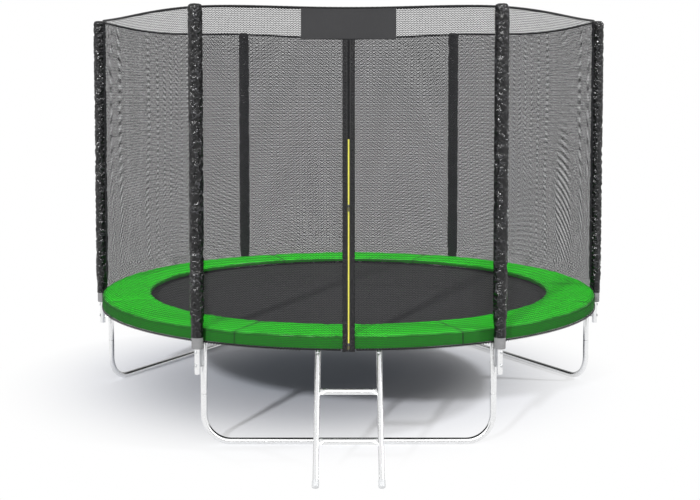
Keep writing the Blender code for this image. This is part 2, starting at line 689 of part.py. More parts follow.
def hook_pockets():
    """Hollows in the pad's underside where the ladder's hooks pass over the rail."""
    inward = HOOK_OUTER_RADIUS + HOOK_POCKET_FIT
    outward = HOOK_OUTER_RADIUS * cos(HOOK_TIP_ANGLE) + HOOK_POCKET_FIT
    half = HOOK_WIDTH / 2 + HOOK_POCKET_FIT
    pockets = []
    for side in (-1, 1):
        middle = side * LADDER_HALF_WIDTH
        pockets.append(box("pocket",
                           (middle - half, -HINGE_DISTANCE - outward, PAD_UNDERSIDE - PAD_THICKNESS),
                           (middle + half, -HINGE_DISTANCE + inward, RING_HEIGHT + inward)))
    return merged("pockets", pockets)


def build_pad(trampoline):
    """Padded ring over the springs with a skirt down the rails' outside."""
    profile = [(PAD_INNER_RADIUS, PAD_UNDERSIDE), (PAD_INNER_RADIUS, PAD_TOP),
               (SKIRT_OUTER_RADIUS - PAD_CHAMFER, PAD_TOP), (SKIRT_OUTER_RADIUS, PAD_TOP - PAD_CHAMFER),
               (SKIRT_OUTER_RADIUS, SKIRT_FOOT_HEIGHT), (SKIRT_INNER_RADIUS, SKIRT_FOOT_HEIGHT),
               (SKIRT_INNER_RADIUS, PAD_UNDERSIDE)]
    mesh = combined(turned("spring_pad", profile), hook_pockets(), "DIFFERENCE")
    place("spring_pad", mesh, green_vinyl(), trampoline)


# ---- Net ----

def door_distance(height):
    """How far in front of the axis the door's straight tape lies at a height."""
    return NET_HEM_RADIUS + (NET_SKIRT_HEIGHT - height) * DOOR_SLOPE


def fade(angle):
    """1 at the door and 0 beyond the front of the net."""
    away = min(angle % 360, -angle % 360)
    share = min(1.0, max(0.0, (away - FACET_STEP) / (NET_FRONT_HALF_ANGLE - FACET_STEP)))
    return 1 - share * share * (3 - 2 * share)


def pole_pull(angle):
    """1 where the net's top edge meets a pole, less at the next corners, else 0."""
    away = min(abs((angle - pole + 180) % 360 - 180) for pole in POLE_ANGLES)
    if away < FACET_STEP / 2:
        return 1.0
    return NET_CORNER_SHARE if away < FACET_STEP * 1.5 else 0.0


def net_top(angle):
    """Height of the net's top edge, lowest midway between two poles."""
    return NET_TOP_HEIGHT - NET_SAG * (1 + cos(radians(RAIL_COUNT * angle))) / 2


def net_radius(angle, height, is_top=False):
    """Radius of the net's inner face at one of its corners."""
    plain = NET_HEM_RADIUS if height <= NET_SKIRT_HEIGHT else NET_RADIUS
    blend = fade(angle)
    radius = plain + (door_distance(min(height, DOOR_TOP_HEIGHT)) - plain) * blend
    if is_top:
        radius += (NET_TOUCH_RADIUS - NET_RADIUS) * pole_pull(angle)
    return radius


def door_edge(side, height, offset):
    """Corner of the net beside the door tape, on the left (-1) or right (1)."""
    return Vector((side * DOOR_SLOT_HALF, -door_distance(min(height, DOOR_TOP_HEIGHT)) - offset, height))


def net_column(angle, offset):
    """Corners of the net from hem to top at one angle, offset outward."""
    heights = [NET_HEM_HEIGHT, NET_SKIRT_HEIGHT, NET_FLARE_HEIGHT, DOOR_TOP_HEIGHT]
    column = [around(angle, net_radius(angle, height) + offset, height) for height in heights]
    top = net_top(angle)
    column.append(around(angle, net_radius(angle, top, True) + offset, top))
    return column


def door_column(side, offset):
    """Like net_column, beside the door tape."""
    heights = [NET_HEM_HEIGHT, NET_SKIRT_HEIGHT, NET_FLARE_HEIGHT, DOOR_TOP_HEIGHT, net_top(0)]
    return [door_edge(side, height, offset) for height in heights]


def build_net(trampoline):
    """Thin round wall, open at the front below the banner where the door tape fills it."""
    build = bmesh.new()
    skins = []
    for offset in (0.0, NET_THICKNESS):
        columns = [door_column(1, offset)]
        columns += [net_column(angle, offset) for angle in corner_angles()[1:]]
        columns.append(door_column(-1, offset))
        skins.append([[build.verts.new(point) for point in column] for column in columns])
    inner, outer = skins
    last = len(inner) - 1
    top = len(inner[0]) - 1
    for skin in skins:
        for column in range(last):
            for row in range(top):
                build.faces.new((skin[column][row], skin[column + 1][row],
                                 skin[column + 1][row + 1], skin[column][row + 1]))
        build.faces.new((skin[last][top - 1], skin[0][top - 1], skin[0][top], skin[last][top]))
    for column in range(last):
        for row in (0, top):
            build.faces.new((inner[column][row], inner[column + 1][row],
                             outer[column + 1][row], outer[column][row]))
    for row in (top - 1, top):
        build.faces.new((inner[last][row], inner[0][row], outer[0][row], outer[last][row]))
    for column in (0, last):
        for row in range(top - 1):
            build.faces.new((inner[column][row], inner[column][row + 1],
                             outer[column][row + 1], outer[column][row]))
    place("safety_net", clean_mesh("safety_net", build), net_mesh(), trampoline)


def build_top_cord(trampoline):
    """Cord along the net's top edge, which the pole tops carry."""
    sections = []
    lift = CORD_RADIUS + GAP
    middle = NET_THICKNESS / 2
    for angle in corner_angles():
        top = net_top(angle)
        inset = (CORD_RADIUS - middle) * pole_pull(angle)
        centre = around(angle, net_radius(angle, top, True) + middle - inset, top + lift)
        sections.append(circle(centre, around(angle, 1, 0), Vector((0, 0, 1)), CORD_RADIUS, CORD_SIDES))
    place("net_top_cord", loft("net_top_cord", sections, endless=True), black_webbing(), trampoline)


def build_banner(trampoline):
    """Plain panel sewn on the net above the door."""
    near = NET_THICKNESS + GAP
    far = near + BANNER_THICKNESS
    edge = degrees(asin(BANNER_HALF_WIDTH / NET_RADIUS))
    sections = []
    places = [-edge, -FACET_STEP, None, None, FACET_STEP, edge]
    for index, angle in enumerate(places):
        section = []
        for offset, at_top in ((near, False), (far, False), (far, True), (near, True)):
            if angle is None:
                height = net_top(0) - BANNER_TOP_MARGIN if at_top else BANNER_FOOT_HEIGHT
                section.append(door_edge(-1 if index == 2 else 1, height, offset))
            else:
                height = net_top(angle) - BANNER_TOP_MARGIN if at_top else BANNER_FOOT_HEIGHT
                section.append(faceted(angle, NET_RADIUS + offset, height))
        sections.append(section)
    place("banner", loft("banner", sections), banner_cloth(), trampoline)


# ---- Door zip ----

def zip_length(height):
    """Distance along the door from its foot up to a height."""
    return (height - DOOR_TAPE_FOOT_HEIGHT) / cos(DOOR_LEAN)


def chain_front():
    """Local Y of the tape's front face, which carries the chain."""
    return -DOOR_TAPE_THICKNESS


def extruded(name, outline, low, high):
    """A bar along local Z with a closed outline of (x, y) points."""
    return loft(name, [[Vector((x, y, z)) for x, y in outline] for z in (low, high)])


def build_door_tape(door):
    """Straight band that fills the net's slot, with the T-shaped zip chain on its front."""
    face = chain_front()
    neck = CHAIN_NECK_WIDTH / 2
    head = CHAIN_WIDTH / 2
    back = face - CHAIN_NECK_DEPTH
    front = back - CHAIN_DEPTH
    root = face + DOOR_TAPE_THICKNESS / 2
    top = zip_length(DOOR_TOP_HEIGHT) - GAP
    tape = box("door_tape", (-DOOR_TAPE_WIDTH / 2, face, 0.0), (DOOR_TAPE_WIDTH / 2, 0.0, top))
    outline = [(-neck, root), (-neck, back), (-head, back), (-head, front), (head, front), (head, back),
               (neck, back), (neck, root)]
    chain = extruded("chain", outline, zip_length(ZIP_FOOT_HEIGHT), zip_length(ZIP_TOP_HEIGHT))
    place("door_tape", combined(tape, chain, "UNION"), black_webbing(), door)


def build_slider(name, door, height):
    """Zip slider that wraps the chain, with its pull hanging in front."""
    face = chain_front()
    head = CHAIN_WIDTH / 2 + SLIDE_FIT
    outside = head + SLIDER_WALL
    neck = CHAIN_NECK_WIDTH / 2 + SLIDE_FIT
    lip_back = face - (CHAIN_NECK_DEPTH - SLIDER_LIP) / 2
    lip_front = lip_back - SLIDER_LIP
    roof = face - CHAIN_NECK_DEPTH - CHAIN_DEPTH - SLIDE_FIT
    front = roof - SLIDER_WALL
    outline = [(neck, lip_back), (neck, lip_front), (head, lip_front), (head, roof), (-head, roof),
               (-head, lip_front), (-neck, lip_front), (-neck, lip_back), (-outside, lip_back),
               (-outside, front), (outside, front), (outside, lip_back)]
    half = SLIDER_LENGTH / 2
    body = extruded(name, outline, -half, half)
    pull = box("pull", (-PULL_WIDTH / 2, front - PULL_THICKNESS, half - PULL_LENGTH),
               (PULL_WIDTH / 2, front + PULL_ROOT, half - SLIDER_WALL))
    place(name, combined(body, pull, "UNION"), slider_metal(), door, 0.0, (0.0, 0.0, zip_length(height)))


# ---- Ladder ----

def ladder_point(along, out=0.0, x=0.0):
    """A point of the ladder's plane: along the rails from the hinge's foot, and out from their line."""
    up = Vector((0, sin(LADDER_LEAN), cos(LADDER_LEAN)))
    outward = Vector((0, -cos(LADDER_LEAN), sin(LADDER_LEAN)))
    return up * along + outward * (out - LADDER_RAIL_OFFSET) + Vector((x, 0, 0))


def ladder_along(height):
    """Distance along the rails at which their centre line is at a height above the ground."""
    drop = height - RING_HEIGHT + LADDER_RAIL_OFFSET * sin(LADDER_LEAN)
    return drop / cos(LADDER_LEAN)


def ladder_section(along, radius, x, turn=0.0):
    """Section square to the ladder's rails."""
    outward = Vector((0, -cos(LADDER_LEAN), sin(LADDER_LEAN)))
    return circle(ladder_point(along, 0.0, x), outward, Vector((1, 0, 0)), radius, TUBE_SIDES, turn)


def hook_plate(x):
    """Flat steel hook: a tongue on the rail, then an arc under, inside and over the ring's tube."""
    half = HOOK_WIDTH / 2
    start = LADDER_LEAN + radians(180)
    outline = []
    for radius in (HOOK_INNER_RADIUS, HOOK_OUTER_RADIUS):
        side = [Vector((0, -radius * cos(start), radius * sin(start)))
                + ladder_point(-HOOK_TONGUE) - ladder_point(0)]
        for step in range(HOOK_STEPS + 1):
            angle = start + (HOOK_TIP_ANGLE - start) * step / HOOK_STEPS
            side.append(Vector((0, -radius * cos(angle), radius * sin(angle))))
        outline += side if radius == HOOK_INNER_RADIUS else side[::-1]
    rings = [[point + Vector((x + shift, 0, 0)) for point in outline] for shift in (-half, half)]
    return loft("hook", rings)


def build_ladder_rail(name, ladder, x):
    """One side rail with its hook welded on."""
    foot = ladder_along(FOOT_END_HEIGHT) + FOOT_FLOOR + GAP
    ends = (foot, LADDER_RAIL_PAST)
    bore = LADDER_RAIL_RADIUS - LADDER_WALL
    walls = [ladder_section(end, LADDER_RAIL_RADIUS, x, HALF_FACET) for end in ends]
    insides = [ladder_section(end, bore, x, HALF_FACET) for end in ends]
    tube = loft(name, walls + insides[::-1], endless=True)
    place(name, combined(tube, hook_plate(x), "UNION"), galvanised_steel(), ladder)


def build_ladder_foot(name, ladder, x):
    """Cap over the rail's lower end."""
    low = ladder_along(FOOT_END_HEIGHT)
    high = low + FOOT_LENGTH
    bore = (LADDER_RAIL_RADIUS + GAP) / cos(HALF_FACET)
    steps = [(FOOT_RADIUS - FOOT_BEVEL, low - FOOT_BEVEL), (FOOT_RADIUS, low), (FOOT_RADIUS, high),
             (bore, high), (bore, low + FOOT_FLOOR)]
    rings = [ladder_section(along, radius, x) for radius, along in steps]
    place(name, loft(name, rings), foot_plastic(), ladder)


def rung_section(along, x, tall, thin):
    """Section square to a rung, an oval that is tall along the ladder's rails."""
    centre = ladder_point(along, 0.0, x)
    up = Vector((0, sin(LADDER_LEAN), cos(LADDER_LEAN)))
    outward = Vector((0, -cos(LADDER_LEAN), sin(LADDER_LEAN)))
    corners = []
    for side in range(TUBE_SIDES):
        angle = tau * side / TUBE_SIDES
        corners.append(centre + tall * cos(angle) * up + thin * sin(angle) * outward)
    return corners


def build_rung(name, ladder, height):
    """Round step with both ends pressed flat against the rails."""
    along = ladder_along(height)
    end = LADDER_HALF_WIDTH - LADDER_RAIL_RADIUS * cos(HALF_FACET) - GAP
    shoulder = end - RUNG_PINCH_LENGTH
    places = [(-end, RUNG_PINCH_TALL, RUNG_PINCH_THIN), (-shoulder, RUNG_RADIUS, RUNG_RADIUS),
              (shoulder, RUNG_RADIUS, RUNG_RADIUS), (end, RUNG_PINCH_TALL, RUNG_PINCH_THIN)]
    walls = [rung_section(along, x, tall, thin) for x, tall, thin in places]
    insides = [rung_section(along, x, tall - LADDER_WALL, thin - LADDER_WALL) for x, tall, thin in places]
    place(name, loft(name, walls + insides[::-1], endless=True), galvanised_steel(), ladder)


def build_ladder(ladder):
    """Two hooked rails, two rungs and two feet."""
    for side, x in (("left", -LADDER_HALF_WIDTH), ("right", LADDER_HALF_WIDTH)):
        build_ladder_rail(f"ladder_rail_{side}", ladder, x)
        build_ladder_foot(f"ladder_foot_{side}", ladder, x)
    for level, height in zip(("lower", "upper"), RUNG_HEIGHTS):
        build_rung(f"ladder_rung_{level}", ladder, height)


def build_trampoline():
    """Clear the scene and build every piece."""
    for item in list(bpy.data.objects):
        bpy.data.objects.remove(item)
    trampoline = empty("trampoline_axis", (0.0, AXIS_Y, 0.0))
    suspension = empty("mat_travel", (0.0, 0.0, RING_HEIGHT), trampoline)
    door_foot = (0.0, -door_distance(DOOR_TAPE_FOOT_HEIGHT), DOOR_TAPE_FOOT_HEIGHT)
    door = empty("door_line", door_foot, trampoline, (-DOOR_LEAN, 0.0, 0.0))
    ladder = empty("ladder_hinge", (0.0, -HINGE_DISTANCE, RING_HEIGHT), trampoline)
    build_rails(trampoline)
    build_leg_bases(trampoline)
    build_leg_uprights(trampoline)
    build_poles(trampoline)
    build_pole_padding(trampoline)
    build_pole_fixings(trampoline)
    build_mat(suspension)
    build_springs(suspension)
    build_pad(trampoline)
    build_net(trampoline)
    build_top_cord(trampoline)
    build_banner(trampoline)
    build_door_tape(door)
    build_slider("zip_slider_upper", door, UPPER_SLIDER_HEIGHT)
    build_slider("zip_slider_lower", door, LOWER_SLIDER_HEIGHT)
    build_ladder(ladder)


build_trampoline()
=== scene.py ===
"""Round backyard trampoline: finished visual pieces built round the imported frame.

Metres, +Z up. The door and the ladder face -Y. Every angle is in degrees from the front and grows
toward +X, about the trampoline's own axis.
"""

import json
import logging
import math
from contextlib import contextmanager
from dataclasses import dataclass, field
from enum import Enum
from functools import partial, reduce
from typing import Callable, Iterator, Sequence

import bmesh
import bpy
from mathutils import Matrix, Vector, noise


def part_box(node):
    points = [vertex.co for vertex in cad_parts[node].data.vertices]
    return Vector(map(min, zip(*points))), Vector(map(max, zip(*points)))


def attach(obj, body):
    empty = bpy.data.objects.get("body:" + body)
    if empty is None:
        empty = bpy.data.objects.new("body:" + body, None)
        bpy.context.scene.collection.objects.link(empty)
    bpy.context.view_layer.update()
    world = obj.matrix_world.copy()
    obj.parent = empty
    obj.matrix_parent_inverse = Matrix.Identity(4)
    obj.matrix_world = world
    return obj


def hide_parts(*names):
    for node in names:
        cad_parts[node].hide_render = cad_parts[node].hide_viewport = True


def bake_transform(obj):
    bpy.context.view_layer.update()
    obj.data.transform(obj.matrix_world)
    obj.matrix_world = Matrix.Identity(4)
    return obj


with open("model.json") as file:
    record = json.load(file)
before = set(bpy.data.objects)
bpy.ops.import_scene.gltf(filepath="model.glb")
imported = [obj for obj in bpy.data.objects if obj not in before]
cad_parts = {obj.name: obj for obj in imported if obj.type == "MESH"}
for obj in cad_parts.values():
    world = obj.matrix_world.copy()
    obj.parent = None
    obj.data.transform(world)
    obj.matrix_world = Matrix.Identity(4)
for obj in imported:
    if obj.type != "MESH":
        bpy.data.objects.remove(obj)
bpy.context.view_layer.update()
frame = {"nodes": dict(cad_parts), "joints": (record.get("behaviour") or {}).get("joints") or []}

log = logging.getLogger("trampoline")

Piece = bpy.types.Object
Socket = bpy.types.NodeSocket
Step = tuple[float, float]

SECTOR = 60.0            # degrees from one pole to the next
POLE_ANGLES = [SECTOR * (index + 0.5) for index in range(6)]
BASE_ANGLES = [120.0 * index for index in range(3)]
FOLD_SEED = 4            # makes the covers' folds the same in every run
FRAME = "frame"
MAT = "jumping_mat"
LADDER = "ladder"
UP = Vector((0.0, 0.0, 1.0))
RIGHT = Vector((1.0, 0.0, 0.0))
FRONT = Vector((0.0, -1.0, 0.0))


class Slot(Enum):
    """The record's material slots, one named by each finish."""

    STEEL = "galvanised_steel"
    HARDWARE = "zinc_hardware"
    SPRING = "spring_steel"
    FOAM = "grey_foam"
    VINYL = "black_vinyl"
    PAD = "green_vinyl"
    WEAVE = "black_mesh"
    NET = "net_mesh"
    WEBBING = "black_webbing"
    BANNER = "banner_cloth"
    SLIDER = "slider_metal"
    PLASTIC = "foot_plastic"


# ---- Places ----

@dataclass(frozen=True)
class Layout:
    """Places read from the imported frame, which every piece is built on.

    Attributes:
        axis_y: Y of the trampoline's own axis.
        ring_radius: from the axis to the rails' and the legs' centre lines.
        ring_height: of the rails' centre line.
        pole_circle: from the axis to the poles' centre lines.
        mat_radius: to the mat's outer edge.
        net_top: highest point of the net.
        net_hem: lowest point of the net.
        hem_radius: of the net where it hangs outside the skirt.
    """

    axis_y: float
    ring_radius: float
    ring_height: float
    pole_circle: float
    mat_radius: float
    net_top: float
    net_hem: float
    hem_radius: float

    @classmethod
    def read(cls) -> "Layout":
        """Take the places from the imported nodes' boxes.

        Returns:
            The layout.
        """
        mat_low, mat_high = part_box("mat")
        net_low, net_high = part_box("safety_net")
        return cls(axis_y=(mat_low.y + mat_high.y) / 2, ring_radius=middle("leg_upright_2").x,
                   ring_height=(mat_low.z + mat_high.z) / 2, pole_circle=middle("pole_lower_2").x,
                   mat_radius=(mat_high.x - mat_low.x) / 2, net_top=net_high.z, net_hem=net_low.z,
                   hem_radius=(net_high.x - net_low.x) / 2 - 0.0005)

    def around(self, angle: float, radius: float, height: float) -> Vector:
        """Point at an angle from the front, at a radius from the axis and a height."""
        return Vector((0, self.axis_y, height)) + outward(angle) * radius

    def turn(self, angle: float) -> Matrix:
        """Turn about the trampoline's axis that carries the front to an angle."""
        shift = Matrix.Translation((0, self.axis_y, 0))
        return shift @ Matrix.Rotation(math.radians(angle), 4, "Z") @ shift.inverted()

    def away(self, point: Vector) -> Vector:
        """Level way from the trampoline's axis to a point."""
        return Vector((point.x, point.y - self.axis_y, 0))


def middle(node: str) -> Vector:
    """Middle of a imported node's box."""
    low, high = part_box(node)
    return (low + high) / 2


def joint(name: str) -> dict:
    """A packed joint's facts."""
    return next(row for row in frame["joints"] if row["name"] == name)


def outward(angle: float) -> Vector:
    """Level direction away from the axis at an angle."""
    turn = math.radians(angle)
    return Vector((math.sin(turn), -math.cos(turn), 0.0))


def sideways(angle: float) -> Vector:
    """Level direction along the ring at an angle, toward growing angles."""
    return outward(angle + 90)


def ease(share: float) -> float:
    """Smooth step of a share, held between 0 and 1."""
    share = min(1.0, max(0.0, share))
    return share * share * (3 - 2 * share)


def ridges(point: Vector, seed: float, octaves: int = 3) -> float:
    """Sharp creases: 1 on a crease's line and less beside it.

    Args:
        point: where to read the pattern, in creases.
        seed: shifts the pattern.
        octaves: layers of finer creases.

    Returns:
        A number from about 0 to 1.
    """
    total, size, weight = 0.0, 1.0, 0.0
    for _ in range(octaves):
        value = noise.noise(point / size + Vector((seed, seed * 1.7, -seed)))
        total += (1 - min(1.0, abs(value) * 2.6)) ** 2 * size
        weight += size
        size *= 0.5
    return total / weight


def grid(rows: int, columns: int, closed: bool = False, tube: bool = False,
         first: int = 0) -> list[tuple[int, ...]]:
    """Faces between neighbours among points laid row after row.

    Args:
        rows: of points.
        columns: points in each row.
        closed: whether each row's end meets its start.
        tube: whether the last row meets the first one.
        first: number of the first point.

    Returns:
        The faces.
    """
    faces = []
    for row in range(rows if tube else rows - 1):
        here = first + row * columns
        there = first + (row + 1) % rows * columns
        for column in range(columns if closed else columns - 1):
            nxt = (column + 1) % columns
            faces.append((here + column, here + nxt, there + nxt, there + column))
    return faces


# ---- Modelling bench ----

class Bench:
    """Operators of the modelling bench, each applied to one chosen piece."""

    @staticmethod
    def take(*pieces: Piece) -> None:
        """Select only these pieces, the first one active.

        Args:
            *pieces: to select.
        """
        bpy.ops.object.select_all(action="DESELECT")
        for piece in pieces:
            piece.select_set(True)
        bpy.context.view_layer.objects.active = pieces[0]

    @staticmethod
    def named(piece: Piece, name: str) -> Piece:
        """Name a piece and its mesh."""
        piece.name = piece.data.name = name
        return piece

    @classmethod
    def primitive(cls, name: str, kind: str, **options) -> Piece:
        """Add a primitive at its size and place and settle its transform into its mesh.

        Args:
            name: of the new piece.
            kind: the primitive's name in the add operators.
            **options: passed to the operator.

        Returns:
            The piece.
        """
        bpy.ops.object.select_all(action="DESELECT")
        getattr(bpy.ops.mesh, f"primitive_{kind}_add")(**options)
        bpy.ops.object.transform_apply(location=True, rotation=True, scale=True)
        return cls.named(bpy.context.active_object, name)

    @classmethod
    @contextmanager
    def editing(cls, piece: Piece, mode: str = "FACE",
                chosen: Callable[[object], bool] | None = None) -> Iterator[None]:
        """Edit mode on a piece with the elements that pass a test selected.

        Args:
            piece: to edit.
            mode: VERT, EDGE or FACE.
            chosen: test for each element; everything is selected without one.

        Yields:
            Nothing.
        """
        cls.take(piece)
        bpy.ops.object.mode_set(mode="EDIT")
        bpy.ops.mesh.select_mode(type=mode)
        bpy.ops.mesh.select_all(action="SELECT" if chosen is None else "DESELECT")
        if chosen is not None:
            shape = bmesh.from_edit_mesh(piece.data)
            elements = {"VERT": shape.verts, "EDGE": shape.edges, "FACE": shape.faces}[mode]
            for element in elements:
                element.select_set(bool(chosen(element)))
            shape.select_flush_mode()
            bmesh.update_edit_mesh(piece.data)
        yield
        bpy.ops.object.mode_set(mode="OBJECT")

    @classmethod
    def modify(cls, piece: Piece, kind: str, **settings) -> Piece:
        """Add a modifier and apply it.

        Args:
            piece: to change.
            kind: the modifier's type.
            **settings: its properties.

        Returns:
            The piece.
        """
        cls.take(piece)
        modifier = piece.modifiers.new(kind.title(), kind)
        for key, value in settings.items():
            setattr(modifier, key, value)
        bpy.ops.object.modifier_apply(modifier=modifier.name)
        return piece

    @classmethod
    def face_out(cls, piece: Piece) -> Piece:
        """Turn a piece's faces outward.

        Args:
            piece: to change.

        Returns:
            The piece.
        """
        with cls.editing(piece):
            bpy.ops.mesh.normals_make_consistent(inside=False)
        return piece

    @classmethod
    def settle(cls, piece: Piece, angle: float = 35.0) -> Piece:
        """Merge doubled points, turn the faces outward and shade the rounds smooth.

        Args:
            piece: to finish.
            angle: edges flatter than this many degrees are shaded smooth.

        Returns:
            The piece.
        """
        with cls.editing(piece):
            bpy.ops.mesh.remove_doubles(threshold=0.00001)
            bpy.ops.mesh.normals_make_consistent(inside=False)
        cls.take(piece)
        bpy.ops.object.shade_smooth_by_angle(angle=math.radians(angle))
        return piece

    @classmethod
    def bevel(cls, piece: Piece, width: float, segments: int = 2, limit: float = 30.0) -> Piece:
        """Round a piece's edges and settle it.

        Args:
            piece: to round.
            width: of the bevel.
            segments: across it.
            limit: edges sharper than this many degrees are rounded.

        Returns:
            The piece.
        """
        cls.modify(piece, "BEVEL", width=width, segments=segments, limit_method="ANGLE",
                   angle_limit=math.radians(limit))
        return cls.settle(piece)

    @classmethod
    def join(cls, name: str, *pieces: Piece) -> Piece:
        """Make one piece of several.

        Args:
            name: of the new piece.
            *pieces: that it is made of.

        Returns:
            The piece.
        """
        cls.take(*pieces)
        bpy.ops.object.join()
        return cls.named(bpy.context.active_object, name)

    @classmethod
    def copy(cls, piece: Piece, name: str, move: Matrix) -> Piece:
        """Copy a piece with its own mesh, moved within it.

        Args:
            piece: to copy.
            name: of the copy.
            move: from the piece's place to the copy's.

        Returns:
            The copy.
        """
        cls.take(piece)
        bpy.ops.object.duplicate(linked=False)
        twin = cls.named(bpy.context.active_object, name)
        twin.data.transform(move)
        return twin

    @staticmethod
    def remove(piece: Piece) -> None:
        """Take away a pattern piece once its copies stand."""
        bpy.data.objects.remove(piece, do_unlink=True)

    @staticmethod
    def cloth(name: str, points: Sequence[Vector], faces: Sequence[Sequence[int]],
              uvs: Sequence[tuple[float, float]] | None = None,
              period: float | None = None) -> Piece:
        """Make a cloth piece straight from its points.

        Args:
            name: of the piece.
            points: its corners.
            faces: corner numbers of each face.
            uvs: one flat place in metres for each point.
            period: length after which a closed ring of cloth meets its start.

        Returns:
            The piece.
        """
        mesh = bpy.data.meshes.new(name)
        mesh.from_pydata([tuple(point) for point in points], [], faces)
        if uvs is not None:
            layer = mesh.uv_layers.new(name="cut")
            for face in mesh.polygons:
                far = max(uvs[index][0] for index in face.vertices)
                for loop in face.loop_indices:
                    u, v = uvs[mesh.loops[loop].vertex_index]
                    behind = period is not None and far - u > period / 2
                    layer.data[loop].uv = (u + period if behind else u, v)
        mesh.polygons.foreach_set("use_smooth", [True] * len(mesh.polygons))
        piece = bpy.data.objects.new(name, mesh)
        bpy.context.scene.collection.objects.link(piece)
        return piece

    @staticmethod
    def cut(piece: Piece, read: Callable[[Vector, Vector], tuple[float, float]]) -> None:
        """Give a piece its cut in metres, for the weave to follow.

        Args:
            piece: to lay out flat.
            read: flat place of a corner, given the corner and the middle of its face.
        """
        mesh = piece.data
        layer = mesh.uv_layers.get("cut") or mesh.uv_layers.new(name="cut")
        for face in mesh.polygons:
            for index in face.loop_indices:
                corner = mesh.vertices[mesh.loops[index].vertex_index].co
                layer.data[index].uv = read(corner, face.center)


class Run:
    """A tube or bar drawn step by step along straights and bends."""

    def __init__(self, name: str, at: Vector, heading: Vector, radius: float = 0.01, sides: int = 24,
                 bar: tuple[float, float] | None = None, capped: bool = True) -> None:
        """Place the first section.

        Args:
            name: of the piece.
            at: the section's middle.
            heading: where the run goes.
            radius: of a round section.
            sides: of a round section.
            bar: width and thickness of a flat bar's section instead.
            capped: whether the first section is closed by a face.
        """
        self.at = at.copy()
        self.heading = heading.normalized()
        self.radius = radius
        turn = self.heading.to_track_quat("Z", "Y")
        if bar is None:
            self.piece = Bench.primitive(name, "circle", vertices=sides, radius=radius, location=at,
                                         fill_type="NGON" if capped else "NOTHING",
                                         rotation=turn.to_euler())
        else:
            self.piece = Bench.primitive(name, "plane", size=1)
            self.piece.data.transform(Matrix.Translation(at) @ turn.to_matrix().to_4x4()
                                      @ Matrix.Diagonal((*bar, 1, 1)))
        Bench.take(self.piece)
        bpy.ops.object.mode_set(mode="EDIT")
        bpy.ops.mesh.select_mode(type="EDGE")
        bpy.ops.mesh.select_all(action="SELECT")
        if bar is not None and not capped:
            bpy.ops.mesh.delete(type="ONLY_FACE")
            bpy.ops.mesh.select_all(action="SELECT")

    def straight(self, length: float, radius: float | None = None) -> "Run":
        """Draw the section on.

        Args:
            length: of the step.
            radius: of the section at its end, the same as before without one.

        Returns:
            The run.
        """
        step = self.heading * length
        bpy.ops.mesh.extrude_edges_move(TRANSFORM_OT_translate={"value": step})
        self.at += step
        if radius is not None and radius != self.radius:
            bpy.ops.transform.resize(value=(radius / self.radius,) * 3, center_override=self.at)
            self.radius = radius
        return self

    def profile(self, steps: Sequence[Step]) -> "Run":
        """Draw on through several steps.

        Args:
            steps: length of each and the radius at its end.

        Returns:
            This run.
        """
        for length, radius in steps:
            self.straight(length, radius)
        return self

    def bend(self, towards: Vector, reach: float, degrees: float, steps: int) -> "Run":
        """Turn the run about a point beside it.

        Args:
            towards: direction from the run to the bend's centre.
            reach: radius of the bend's centre line.
            degrees: of the bend.
            steps: sections in it.

        Returns:
            The run.
        """
        centre = self.at + towards.normalized() * reach
        axis = self.heading.cross(towards).normalized()
        bpy.ops.mesh.spin(steps=steps, angle=-math.radians(degrees), center=centre, axis=axis)
        turn = Matrix.Rotation(math.radians(degrees), 3, axis)
        self.at = centre + turn @ (self.at - centre)
        self.heading = turn @ self.heading
        return self

    def close(self, capped: bool = True, angle: float = 35.0) -> Piece:
        """End the run.

        Args:
            capped: whether the last section is closed by a face.
            angle: of the smooth shading.

        Returns:
            The finished piece.
        """
        if capped:
            bpy.ops.mesh.edge_face_add()
        bpy.ops.object.mode_set(mode="OBJECT")
        return Bench.settle(self.piece, angle)


def open_end(radius: float, wall: float, depth: float) -> list[Step]:
    """Steps of a cut tube end: a rounded lip, then back along the bore.

    Args:
        radius: of the tube.
        wall: its thickness.
        depth: how far the bore shows.

    Returns:
        Steps for a run that ends there.
    """
    return [(wall * 0.35, radius - wall * 0.15), (wall * 0.15, radius - wall * 0.5),
            (-wall * 0.15, radius - wall * 0.85), (-wall * 0.35, radius - wall), (-depth, radius - wall)]


def open_start(radius: float, wall: float, depth: float) -> list[Step]:
    """Steps of a run that begins in the bore, comes out over the lip and runs on."""
    return [(-depth, radius - wall), (-wall * 0.35, radius - wall * 0.85),
            (-wall * 0.15, radius - wall * 0.5), (wall * 0.15, radius - wall * 0.15), (wall * 0.35, radius)]


# ---- Finishes ----

Triple = tuple[float, float, float]
Colour = Triple
SMOOTH = "SMOOTHSTEP"


